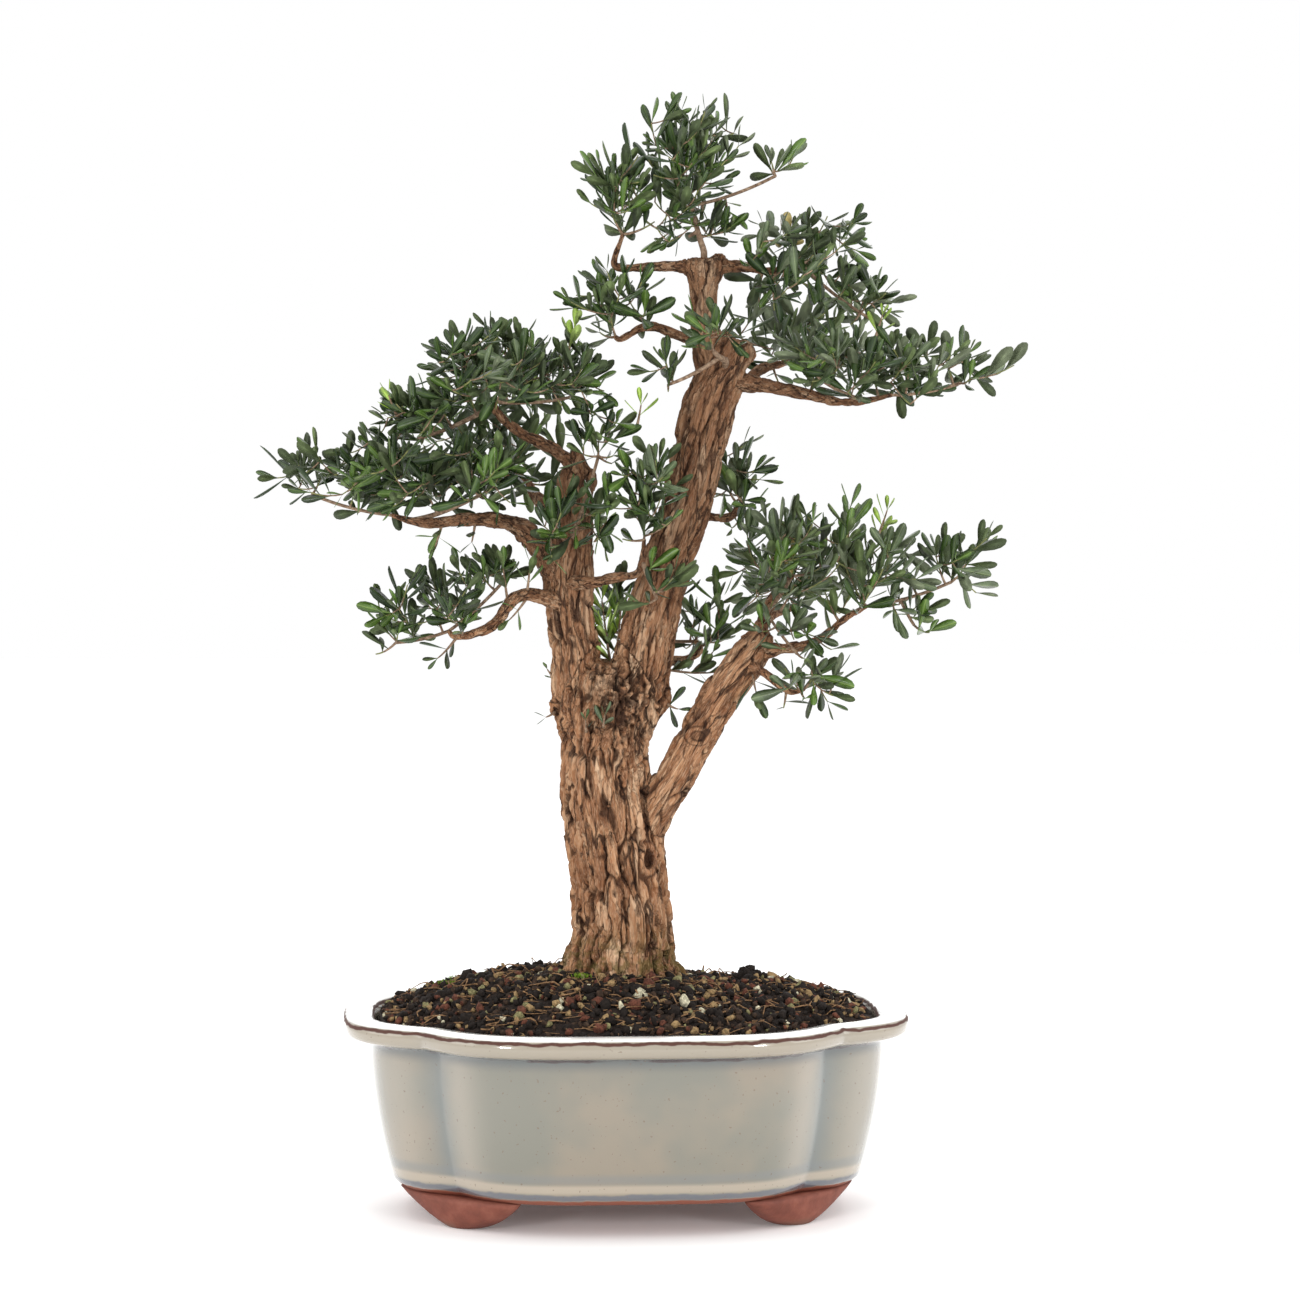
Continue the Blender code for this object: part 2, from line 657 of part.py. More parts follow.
class WoodMap:
    """Every stretch of wood in the plant, to keep leaves and twigs clear of it."""

    def __init__(self):
        self.starts = []
        self.ends = []
        self.start_radii = []
        self.end_radii = []
        self.owners = []

    def add(self, owner, stops):
        for first, second in zip(stops, stops[1:]):
            self.starts.append(first[:3])
            self.ends.append(second[:3])
            self.start_radii.append(first[3])
            self.end_radii.append(second[3])
            self.owners.append(owner)

    def freeze(self):
        self.starts = np.array(self.starts)
        self.spans = np.array(self.ends) - self.starts
        self.span_squares = np.maximum((self.spans ** 2).sum(1), 1e-12)
        self.start_radii = np.array(self.start_radii)
        self.end_radii = np.array(self.end_radii)
        self.owners = np.array(self.owners)

    def clearance(self, point, but_for=()):
        """The space between a point and the nearest wood that isn't left out."""
        to_point = np.array(point) - self.starts
        share = np.clip((to_point * self.spans).sum(1) / self.span_squares, 0.0, 1.0)
        offsets = to_point - self.spans * share[:, None]
        radii = self.start_radii + (self.end_radii - self.start_radii) * share
        space = np.sqrt((offsets ** 2).sum(1)) - radii
        for owner in but_for:
            space = np.where(self.owners == owner, 1.0, space)
        return float(space.min())


# The foliage

def lobe_depth(point, lobe):
    """How far a point lies out of a lobe, about, and less than 0 inside it."""
    middle, half = lobe
    scaled = Vector(((point[i] - middle[i]) / half[i] for i in range(3)))
    return (scaled.length - 1.0) * min(half)


def space_depth(point, mass):
    return min(lobe_depth(point, lobe) for lobe in MASSES[mass][1])


def in_own_space(point, mass):
    """True where a point is inside its mass's space and nearer to it than to others'."""
    depth = space_depth(point, mass)
    if depth > 0.0:
        return False
    return all(
        space_depth(point, other) > depth + CELL_MARGIN
        for other in MASSES
        if other != mass
    )


def lobe_area(half):
    """The skin of an ellipsoid, to within about a hundredth."""
    a, b, c = (value ** SKIN_POWER for value in half)
    return 4 * math.pi * ((a * b + a * c + b * c) / 3) ** (1 / SKIN_POWER)


def lobe_targets(lobe, rng):
    """Where the shoots of one lobe end: spread round it, a leaf short of its skin."""
    middle, half = lobe
    wood_half = [max(value - LEAF_REACH * LEAF_LENGTH, LEAST_WOOD_SHARE * value) for value in half]
    depth_below = UNDERSIDE_SHARE * half[2]
    count = max(FEWEST_SHOOTS, round(lobe_area(wood_half) / SPACE_PER_SHOOT))
    first_turn = rng.uniform(0.0, 2 * math.pi)
    targets = []
    for index in range(count):
        rise = LOWEST_RISE + (HIGHEST_RISE - LOWEST_RISE) * (index + 0.5) / count
        flat = math.sqrt(max(0.0, 1.0 - rise * rise))
        turn = first_turn + GOLDEN_TURN * index
        reach = 1.0 if index % INNER_SHOOT_EVERY else INNER_SHOOT_REACH
        reach *= rng.uniform(1.0 - SHOOT_SCATTER, 1.0 + SHOOT_SCATTER)
        offset = Vector((
            wood_half[0] * flat * math.cos(turn),
            wood_half[1] * flat * math.sin(turn),
            (wood_half[2] if rise > 0 else depth_below) * rise,
        ))
        targets.append(Vector(middle) + offset * reach)
    return targets


def arc_stops(start, end, start_radius, end_radius, sag, steps):
    """A curved shoot that runs out level and turns up towards its tip."""
    start = Vector(start)
    end = Vector(end)
    bend = (start + end) / 2 - Vector((0.0, 0.0, sag * (end - start).length))
    stops = []
    for step in range(steps + 1):
        share = step / steps
        place = start * (1 - share) ** 2 + bend * (2 * share * (1 - share)) + end * share ** 2
        radius = start_radius + (end_radius - start_radius) * share
        stops.append((*place, radius))
    return stops


def bough_end(name):
    """The last place, the radius there and the way that a bough or the leader runs."""
    course = BOUGHS[name][1] if name in BOUGHS else LIMB_COURSES[name]
    last = Vector(course[-1][:3])
    way = (last - Vector(course[-2][:3])).normalized()
    return last, course[-1][3], way


def mass_stem(mass):
    """The stem of a mass: from its bough's tip into the middle of its first lobe."""
    carrier, lobes = MASSES[mass]
    middle = Vector(lobes[0][0])
    half = lobes[0][1]
    goal = middle - Vector((0.0, 0.0, STEM_END_DEPTH * half[2]))
    if mass in SIDE_STEMS:
        foot, knee = (Vector(place) for place in SIDE_STEMS[mass])
    else:
        tip, radius, way = bough_end(carrier)
        foot = tip + way * GAP
        knee = foot + way * max(2.0 * radius, STEM_KNEE)
    goal.z = max(goal.z, knee.z + STEM_RISE)
    stops = [(*foot, STEM_RADIUS), (*knee, STEM_RADIUS)]
    stops += arc_stops(knee, goal, STEM_RADIUS, TWIG_RADIUS, STEM_SAG, STEM_STEPS)[1:]
    return stops


def side_stems(mass, stem):
    """Branches of the stem into the mass's other lobes."""
    branches = []
    wood = list(stem)
    for middle, half in MASSES[mass][1][1:]:
        goal = Vector(middle) - Vector((0.0, 0.0, BRANCH_END_DEPTH * half[2]))
        nearest = min(wood[BARE_STOPS:], key=lambda stop: (Vector(stop[:3]) - goal).length)
        branch = arc_stops(
            nearest[:3], goal, STEM_RADIUS, TWIG_RADIUS, STEM_SAG, BRANCH_STEPS
        )
        branch[0] = (*branch[0][:3], TWIG_ROOT_SHARE * nearest[3])
        branches.append(branch)
        wood += branch[1:]
    return branches


def stem_samples(stops, steps=SAMPLES_PER_STRETCH):
    """Places along a run of wood where shoots can start."""
    samples = []
    for first, second in zip(stops, stops[1:]):
        for step in range(steps):
            share = step / steps
            samples.append(tuple(a + (b - a) * share for a, b in zip(first, second)))
    samples.append(stops[-1])
    return samples


def leaf_points(root, axis, above, size):
    """A channelled leaf: its root, its tip, and its two edges, which stand higher."""
    wide = above.cross(axis).normalized()
    above = axis.cross(wide)
    middle = root + axis * (LEAF_WIDEST * LEAF_LENGTH * size) + above * LEAF_THICKNESS
    half_width = wide * (LEAF_WIDTH * size / 2)
    return [root, root + axis * (LEAF_LENGTH * size), middle + half_width, middle - half_width]


LEAF_FACES = ((0, 3, 2), (1, 2, 3), (0, 2, 1), (0, 1, 3))


class Mass:
    """One mass of foliage while it grows."""

    def __init__(self, name, wood_map, seed):
        self.name = name
        self.wood_map = wood_map
        self.rng = random.Random(seed)
        self.leaf_middles = []
        self.pieces = []
        self.samples = []
        self.neighbours = []  # one search tree for each piece
        self.shoot_piece = 0  # the shoot that leaves are being added to
        self.node_start = 0  # where the pieces of this leaf pair begin

    def add_piece(self, vertices, faces):
        self.pieces.append((vertices, faces))
        self.neighbours.append(BVHTree.FromPolygons(vertices, faces))

    def add_wood(self, stops):
        self.add_piece(*ring_shell(limb_rings(stops, TWIG_SIDES)))
        self.samples += stem_samples(stops)

    def twig_fits(self, stops):
        samples = stem_samples(stops, PROBES_PER_STRETCH)
        own = (self.name,)
        return all(
            in_own_space(stop[:3], self.name)
            and self.wood_map.clearance(stop[:3], own) > TWIG_CLEARANCE
            for stop in samples[1:]
        )

    def leaf_fits(self, points):
        root, tip, left, right = points
        middle = (left + right) / 2
        if any((middle - other).length < LEAF_SPACING for other in self.leaf_middles):
            return False
        along = [root.lerp(tip, share) for share in LEAF_PROBES]
        for point in (*along, middle, left, right, tip):
            if not in_own_space(point, self.name):
                return False
            if self.wood_map.clearance(point, (self.name,)) < LIMB_CLEARANCE:
                return False
        blade = BVHTree.FromPolygons(points, LEAF_FACES)
        others = [
            tree
            for index, tree in enumerate(self.neighbours)
            if index != self.shoot_piece and index < self.node_start
        ]
        return not any(blade.overlap(tree) for tree in others)

    def add_leaf(self, place, way, out, pitch):
        """A leaf on a shoot that runs one way, leaning out from it by its pitch."""
        size = self.rng.uniform(*LEAF_SIZES)
        for pitch_share, size_share in LEAF_TRIES:
            lean = pitch * pitch_share
            axis = way * math.cos(lean) + out * math.sin(lean)
            axis = (axis + Vector((0.0, 0.0, LEAF_LIFT))).normalized()
            root = place - axis * (LEAF_SINK * TWIG_TIP_RADIUS)
            points = leaf_points(root, axis, way, size * size_share)
            if self.leaf_fits(points):
                self.leaf_middles.append((points[2] + points[3]) / 2)
                self.add_piece(points, LEAF_FACES)
                return

    def add_leaves(self, stops):
        """Opposite pairs of leaves down the shoot from its tip, each pair turned."""
        tip = Vector(stops[-1][:3])
        before = Vector(stops[-2][:3])
        length = sum(
            (Vector(b[:3]) - Vector(a[:3])).length for a, b in zip(stops, stops[1:])
        )
        way = (tip - before).normalized()
        side = way.cross(Vector((0.0, 0.0, 1.0)))
        side = side.normalized() if side.length > 0.1 else way.orthogonal().normalized()
        side.rotate(Matrix.Rotation(self.rng.uniform(0, math.pi), 3, way))
        pairs = min(PAIRS_PER_SHOOT, 1 + int(LEAFY_SHARE * length / NODE_SPACING))
        for pair in range(pairs):
            self.node_start = len(self.pieces)
            back = pair * NODE_SPACING + TWIG_TIP_RADIUS
            place = point_before_tip(stops, back)
            pitch = TIP_LEAF_PITCH if pair == 0 else LEAF_PITCH
            pitch += self.rng.uniform(-PITCH_SCATTER, PITCH_SCATTER)
            for sign in (1, -1):
                self.add_leaf(place, way, side * sign, pitch)
            side.rotate(Matrix.Rotation(math.radians(90), 3, way))

    def grow(self, stem, branches):
        self.add_wood(stem)
        for branch in branches:
            self.add_wood(branch)
        targets = []
        for lobe in MASSES[self.name][1]:
            targets += lobe_targets(lobe, self.rng)
        foot = Vector(stem[0][:3])
        targets.sort(key=lambda target: (target - foot).length)
        del self.samples[:BARE_SAMPLES]
        shoots = []
        for target in targets:
            nearest = min(self.samples, key=lambda stop: (Vector(stop[:3]) - target).length)
            reach = (Vector(nearest[:3]) - target).length
            if reach < SHORTEST_SHOOT:
                continue
            steps = 1 if reach < STRAIGHT_SHOOT else 2
            stops = arc_stops(nearest[:3], target, TWIG_RADIUS, TWIG_TIP_RADIUS, TWIG_SAG, steps)
            stops[0] = (*stops[0][:3], TWIG_ROOT_SHARE * nearest[3])
            if self.twig_fits(stops):
                self.add_wood(stops)
                shoots.append((len(self.pieces) - 1, stops))
        for piece, stops in shoots:
            self.shoot_piece = piece
            self.add_leaves(stops)


def point_before_tip(stops, back):
    """The place on a shoot that lies a distance back from its tip."""
    for second, first in zip(reversed(stops), reversed(stops[:-1])):
        end = Vector(second[:3])
        start = Vector(first[:3])
        span = (end - start).length
        if back <= span:
            return end.lerp(start, back / span)
        back -= span
    return Vector(stops[0][:3])


def fuse(name, pieces):
    """One solid from overlapping closed pieces: the first one, joined to the others."""
    collection = bpy.data.collections.new(f"{name}_pieces")
    bpy.context.scene.collection.children.link(collection)
    item = add_object(name, *pieces[0])
    for index, (vertices, faces) in enumerate(pieces[1:]):
        add_object(f"{name}_piece_{index}", vertices, faces, collection)
    union = item.modifiers.new("fuse", "BOOLEAN")
    union.operation = "UNION"
    union.operand_type = "COLLECTION"
    union.collection = collection
    graph = bpy.context.evaluated_depsgraph_get()
    fused = bpy.data.meshes.new_from_object(item.evaluated_get(graph))
    item.modifiers.remove(union)
    item.data = fused
    for piece in list(collection.objects):
        bpy.data.objects.remove(piece)
    bpy.data.collections.remove(collection)
    keep_main_body(item.data)
    return item


def keep_main_body(mesh):
    """Keep the largest closed shell. Sealed hollows and loose scraps are dropped."""
    body = bmesh.new()
    body.from_mesh(mesh)
    bmesh.ops.triangulate(body, faces=body.faces)
    unseen = set(body.faces)
    shells = []
    while unseen:
        shell = set()
        waiting = [unseen.pop()]
        while waiting:
            face = waiting.pop()
            shell.add(face)
            for edge in face.edges:
                for neighbour in edge.link_faces:
                    if neighbour in unseen:
                        unseen.remove(neighbour)
                        waiting.append(neighbour)
        shells.append(shell)
    main = max(shells, key=shell_volume)
    extra = [face for face in body.faces if face not in main]
    bmesh.ops.delete(body, geom=extra, context="FACES")
    loose = [vertex for vertex in body.verts if not vertex.link_faces]
    bmesh.ops.delete(body, geom=loose, context="VERTS")
    body.to_mesh(mesh)
    body.free()


def is_closed(mesh):
    body = bmesh.new()
    body.from_mesh(mesh)
    bmesh.ops.remove_doubles(body, verts=body.verts, dist=WELD)
    closed = all(len(edge.link_faces) == 2 for edge in body.edges)
    body.free()
    return closed


def shell_volume(shell):
    """The volume inside a shell of triangles, and less than 0 for a hollow."""
    volume = 0.0
    for face in shell:
        a, b, c = (vertex.co for vertex in face.verts)
        volume += a.dot(b.cross(c)) / 6
    return volume


def grow_mass(mass, wood_map, stem, branches, seed):
    """A fused mass. Where fusing leaves it open, it grows again from another seed."""
    for attempt in range(SEED_TRIES):
        growing = Mass(mass, wood_map, seed + attempt * len(MASSES))
        growing.grow(stem, branches)
        item = fuse(mass, growing.pieces)
        if is_closed(item.data):
            break
        if attempt < SEED_TRIES - 1:
            bpy.data.objects.remove(item)
    return item


def build_foliage(material, parent, cutters):
    stems = {mass: mass_stem(mass) for mass in MASSES}
    branches = {mass: side_stems(mass, stems[mass]) for mass in MASSES}
    wood_map = WoodMap()
    wood_map.add("trunk", [(x, y, z, max(a, b)) for x, y, z, a, b in TRUNK_COURSE])
    for name, course in LIMB_COURSES.items():
        wood_map.add(name, course)
    for name, (_, course) in BOUGHS.items():
        wood_map.add(name, course)
    for mass in MASSES:
        for stops in [stems[mass]] + branches[mass]:
            wood_map.add(mass, stops)
    wood_map.freeze()
    for index, mass in enumerate(MASSES):
        item = grow_mass(mass, wood_map, stems[mass], branches[mass], SEED + index)
        finish_piece(item, material, parent)
        if mass in SIDE_STEMS:
            cut_clear(item, cutters[MASSES[mass][0]])


def build_plant():
    clear_scene()
    plant = bpy.data.objects.new("plant_middle", None)
    bpy.context.scene.collection.objects.link(plant)
    plant.location = POT_OFFSET
    build_pot(make_material("glaze", GLAZE_COLOUR, 0.22), plant)
    build_feet(make_material("bare_clay", CLAY_COLOUR, 0.8), plant)
    build_soil(make_material("soil", SOIL_COLOUR, 0.95), plant)
    cutters = build_wood(make_material("bark", BARK_COLOUR, 0.9), plant)
    build_foliage(make_material("leaves", LEAF_COLOUR, 0.45), plant, cutters)


build_plant()
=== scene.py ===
import itertools
import math
import random

import bpy
import numpy as np
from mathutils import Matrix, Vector, noise


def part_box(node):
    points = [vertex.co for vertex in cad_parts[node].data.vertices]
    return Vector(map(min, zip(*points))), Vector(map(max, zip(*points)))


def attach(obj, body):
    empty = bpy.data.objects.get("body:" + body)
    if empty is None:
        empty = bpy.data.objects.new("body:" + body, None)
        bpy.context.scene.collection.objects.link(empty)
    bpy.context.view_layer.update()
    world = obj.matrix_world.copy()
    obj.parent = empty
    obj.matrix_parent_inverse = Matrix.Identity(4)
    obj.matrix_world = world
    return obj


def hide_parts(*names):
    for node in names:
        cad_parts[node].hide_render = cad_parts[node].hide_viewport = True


# A boxwood bonsai in a lobed, glazed pot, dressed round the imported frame. Places count
# from the middle of the pot's base, in millimetres inside mm() and otherwise in metres.
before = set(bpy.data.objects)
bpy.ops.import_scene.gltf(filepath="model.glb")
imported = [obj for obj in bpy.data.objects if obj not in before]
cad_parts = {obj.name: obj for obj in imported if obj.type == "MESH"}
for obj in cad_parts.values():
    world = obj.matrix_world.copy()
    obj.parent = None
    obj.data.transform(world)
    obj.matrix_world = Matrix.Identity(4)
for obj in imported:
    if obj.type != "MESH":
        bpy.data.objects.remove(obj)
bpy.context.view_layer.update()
potLow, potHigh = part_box("pot")
potMiddle = np.array([(potLow[0] + potHigh[0]) / 2, (potLow[1] + potHigh[1]) / 2, 0.0])
leafNodes = sorted(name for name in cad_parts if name.endswith("_mass"))
print("frame loaded:", len(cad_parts), "nodes")


def mm(value):
    # millimetres as metres, for a number, for rows of them or for a table of rows
    if isinstance(value, dict):
        return {name: mm(rows) for name, rows in value.items()}
    if isinstance(value, tuple):
        return tuple(mm(part) for part in value)
    return round(value / 1000, 7)


def unit(vector):
    return vector / np.linalg.norm(vector)


def turned(first, second, angle):
    # two directions turned about the one that is square to both
    cos, sin = math.cos(angle), math.sin(angle)
    return first * cos + second * sin, second * cos - first * sin


def linked(name, data):
    item = bpy.data.objects.new(name, data)
    bpy.context.scene.collection.objects.link(item)
    return item


class Value:
    # a shader number: arithmetic on it adds Math nodes

    def __init__(self, finish, socket):
        self.finish = finish
        self.socket = socket

    def maths(self, operation, first, second):
        return self.finish.node("ShaderNodeMath", {"operation": operation}, {0: first, 1: second})

    def __add__(self, other):
        return self.maths("ADD", self, other)

    def __radd__(self, other):
        return self.maths("ADD", other, self)

    def __sub__(self, other):
        return self.maths("SUBTRACT", self, other)

    def __rsub__(self, other):
        return self.maths("SUBTRACT", other, self)

    def __mul__(self, other):
        return self.maths("MULTIPLY", self, other)

    def __rmul__(self, other):
        return self.maths("MULTIPLY", other, self)


class Finish:
    # one material and the nodes that paint it

    def __init__(self, name):
        self.material = bpy.data.materials.new(name)
        self.material.use_nodes = True
        self.tree = self.material.node_tree
        self.shader = self.tree.nodes["Principled BSDF"]

    def node(self, kind, settings=None, sockets=None, output=0):
        made = self.tree.nodes.new(kind)
        for key, value in (settings or {}).items():
            if key == "stops":
                self.setStops(made.color_ramp, value)
            else:
                setattr(made, key, value)
        for key, value in (sockets or {}).items():
            self.fill(made.inputs[key], value)
        return Value(self, made.outputs[output])

    def setStops(self, ramp, stops):
        while len(ramp.elements) < len(stops):
            ramp.elements.new(1.0)
        for element, (place, colour) in zip(ramp.elements, stops):
            element.position = place
            element.color = (*colour, 1.0)

    def fill(self, socket, value):
        if isinstance(value, Value):
            self.tree.links.new(value.socket, socket)
        else:
            socket.default_value = value

    def paint(self, sockets):
        for key, value in sockets.items():
            self.fill(self.shader.inputs[key], value)
        return self.material

    def place(self):
        return self.node("ShaderNodeTexCoord", output="Object")

    def stretched(self, place, along):
        # the same places, drawn out along the grain
        settings = {"operation": "MULTIPLY"}
        return self.node("ShaderNodeVectorMath", settings, {0: place, 1: (1.0, 1.0, along)})

    def axis(self, place, name):
        return self.node("ShaderNodeSeparateXYZ", None, {0: place}, name)

    def speckle(self, place, scale, detail=2.0, roughness=0.5, output=0):
        sockets = {"Vector": place, "Scale": scale, "Detail": detail, "Roughness": roughness}
        return self.node("ShaderNodeTexNoise", None, sockets, output)

    def cells(self, place, scale):
        # how far a place is from its cell's border, and a random tone for its cell
        sockets = {"Vector": place, "Scale": scale}
        gap = self.node("ShaderNodeTexVoronoi", {"feature": "DISTANCE_TO_EDGE"}, sockets)
        return gap, self.axis(self.node("ShaderNodeTexVoronoi", None, sockets, 1), "X")

    def mark(self, name, output="Fac"):
        return self.node("ShaderNodeAttribute", {"attribute_name": name}, None, output)

    def ramp(self, value, stops):
        return self.node("ShaderNodeValToRGB", {"stops": stops}, {0: value})

    def step(self, value, low, high):
        sockets = {"Value": value, "From Min": low, "From Max": high}
        return self.node("ShaderNodeMapRange", {"interpolation_type": "SMOOTHSTEP"}, sockets)

    def band(self, value, low, high, soft):
        return self.step(value, low - soft, low + soft) * (1 - self.step(value, high - soft, high + soft))

    def mix(self, factor, first, second):
        sides = [side if isinstance(side, Value) else (*side, 1.0) for side in (first, second)]
        return self.node("ShaderNodeMix", {"data_type": "RGBA"}, {0: factor, 6: sides[0], 7: sides[1]}, 2)

    def layered(self, colour, masks, layers):
        # other colours laid over one in their order, each through its mask
        for name, (share, over) in layers.items():
            if name in masks:
                colour = self.mix(masks[name] * share, colour, over)
        return colour

    def bump(self, height, strength, distance):
        sockets = {"Height": height, "Strength": strength, "Distance": distance}
        return self.node("ShaderNodeBump", None, sockets)


class Shape:
    # points and faces that grow as parts are added

    def __init__(self, *part):
        self.points, self.quads, self.tris = [], [], []
        self.count = 0
        if part:
            self.add(*part)

    def add(self, points, quads=(), tris=()):
        self.points.append(np.asarray(points, float).reshape(-1, 3))
        for groups, faces in ((self.quads, quads), (self.tris, tris)):
            if len(faces):
                groups.append(np.asarray(faces) + self.count)
        self.count += len(self.points[-1])

    def allPoints(self):
        return np.concatenate(self.points)

    def faces(self):
        return [np.concatenate(groups) for groups in (self.quads, self.tris) if groups]


def addPiece(name, shape, materials, replaced=(), kinds=None, marks=None, flat=False):
    # kinds says which material each face has, and marks are values that its points carry
    mesh = bpy.data.meshes.new(name)
    groups = [group.astype(np.int32) for group in shape.faces()]
    counts = np.concatenate([np.full(len(group), group.shape[1], np.int32) for group in groups])
    corners = np.concatenate([group.ravel() for group in groups])
    points = shape.allPoints() + potMiddle
    mesh.vertices.add(len(points))
    mesh.vertices.foreach_set("co", points.astype(np.float32).ravel())
    mesh.loops.add(len(corners))
    mesh.loops.foreach_set("vertex_index", corners)
    mesh.polygons.add(len(counts))
    mesh.polygons.foreach_set("loop_start", (np.cumsum(counts) - counts).astype(np.int32))
    if kinds is not None:
        mesh.polygons.foreach_set("material_index", kinds.astype(np.int32))
    mesh.update(calc_edges=True)
    mesh.validate()
    if not flat:
        mesh.shade_smooth()
    for material in materials:
        mesh.materials.append(material)
    for key, values in (marks or {}).items():
        kind, field = ("FLOAT_VECTOR", "vector") if values.ndim == 2 else ("FLOAT", "value")
        mesh.attributes.new(key, kind, "POINT").data.foreach_set(field, values.astype(np.float32).ravel())
    piece = linked(name, mesh)
    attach(piece, "root")
    if replaced:
        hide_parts(*replaced)


def smoothCourse(stops, step):
    # a round curve through stops of x, y, z and radius, with a place every step
    stops = np.array(stops, float)
    ends = np.vstack([2 * stops[0] - stops[1], stops, 2 * stops[-1] - stops[-2]])
    course = []
    for index in range(1, len(ends) - 2):
        before, first, second, after = ends[index - 1:index + 3]
        count = max(1, round(np.linalg.norm(second[:3] - first[:3]) / step))
        for share in np.arange(count) / count:
            course.append(0.5 * (
                2 * first
                + (second - before) * share
                + (2 * before - 5 * first + 4 * second - after) * share ** 2
                + (3 * first - before - 3 * second + after) * share ** 3
            ))
    course.append(stops[-1])
    return np.array(course)


def runAlong(places):
    # how far along a course each of its places is
    return np.concatenate([[0.0], np.cumsum(np.linalg.norm(np.diff(places, axis=0), axis=1))])


def courseFrames(places):
    # the way a course runs at each place, and two directions square to it
    ways = np.gradient(places, axis=0)
    ways /= np.linalg.norm(ways, axis=1)[:, None]
    across = np.zeros_like(ways)
    last = np.array(Vector(ways[0]).orthogonal().normalized())
    for index, way in enumerate(ways):
        last = unit(last - way * last.dot(way))
        across[index] = last
    return ways, across, np.cross(ways, across)


def anglesRound(sides):
    return np.arange(sides) * 2 * math.pi / sides


def looksOut(course, sides):
    # the directions that look out from each place of a course, all the way round
    ways, across, up = courseFrames(course[:, :3])
    angles = anglesRound(sides)
    return across[:, None] * np.cos(angles)[None, :, None] + up[:, None] * np.sin(angles)[None, :, None]


def ringTube(rings):
    # a closed tube through rings, as points, quads and triangles
    rings = np.asarray(rings, float)
    count, sides = rings.shape[:2]
    side = np.arange(sides)
    after = (side + 1) % sides
    start = np.arange(count - 1)[:, None] * sides
    quads = np.stack([start + side, start + after, start + after + sides, start + side + sides], axis=-1)
    foot, last = count * sides, (count - 1) * sides
    low = np.stack([np.full(sides, foot), after, side], axis=-1)
    high = np.stack([np.full(sides, foot + 1), last + side, last + after], axis=-1)
    points = np.concatenate([rings.reshape(-1, 3), [rings[0].mean(axis=0)], [rings[-1].mean(axis=0)]])
    return points, quads.reshape(-1, 4), np.concatenate([low, high])


def courseTube(course, sides):
    course = np.asarray(course, float)
    return ringTube(course[:, None, :3] + looksOut(course, sides) * course[:, None, 3:4])


def cellHash(cells, salt):
    # a random number from 0 to 1 for each whole place
    number = cells[:, 0] * 73856093 ^ cells[:, 1] * 19349663 ^ cells[:, 2] * 83492791 ^ salt * 2971215073
    number = (number & 0xFFFFFFFF) * 2654435761 & 0xFFFFFFFF
    number = (number ^ number >> 15) * 2246822519 & 0xFFFFFFFF
    return (number ^ number >> 13) / 0x100000000


def cellBorders(points, salt):
    # how far each point is from its cell's border, and a random number for its cell
    base = np.floor(points).astype(np.int64)
    near = np.full(len(points), 9.0)
    second = near.copy()
    owner = np.zeros(len(points))
    for offset in itertools.product((-1, 0, 1), repeat=3):
        cell = base + np.array(offset)
        middle = cell + np.stack([cellHash(cell, salt + k) for k in range(3)], axis=1)
        gap = np.linalg.norm(points - middle, axis=1)
        closer = gap < near
        second = np.where(closer, near, np.minimum(second, gap))
        owner = np.where(closer, cellHash(cell, salt + 7), owner)
        near = np.where(closer, gap, near)
    return second - near, owner


def smoothStep(value, low, high):
    share = np.clip((value - low) / (high - low), 0.0, 1.0)
    return share * share * (3 - 2 * share)


def softNoise(points, size):
    return np.array([noise.noise(Vector(point) / size) for point in points])


def hump(value, middle, width):
    return np.exp(-((value - middle) / width) ** 2)


# Wood: courses are rows of x, y, z and radius, and blobs are a middle and half widths

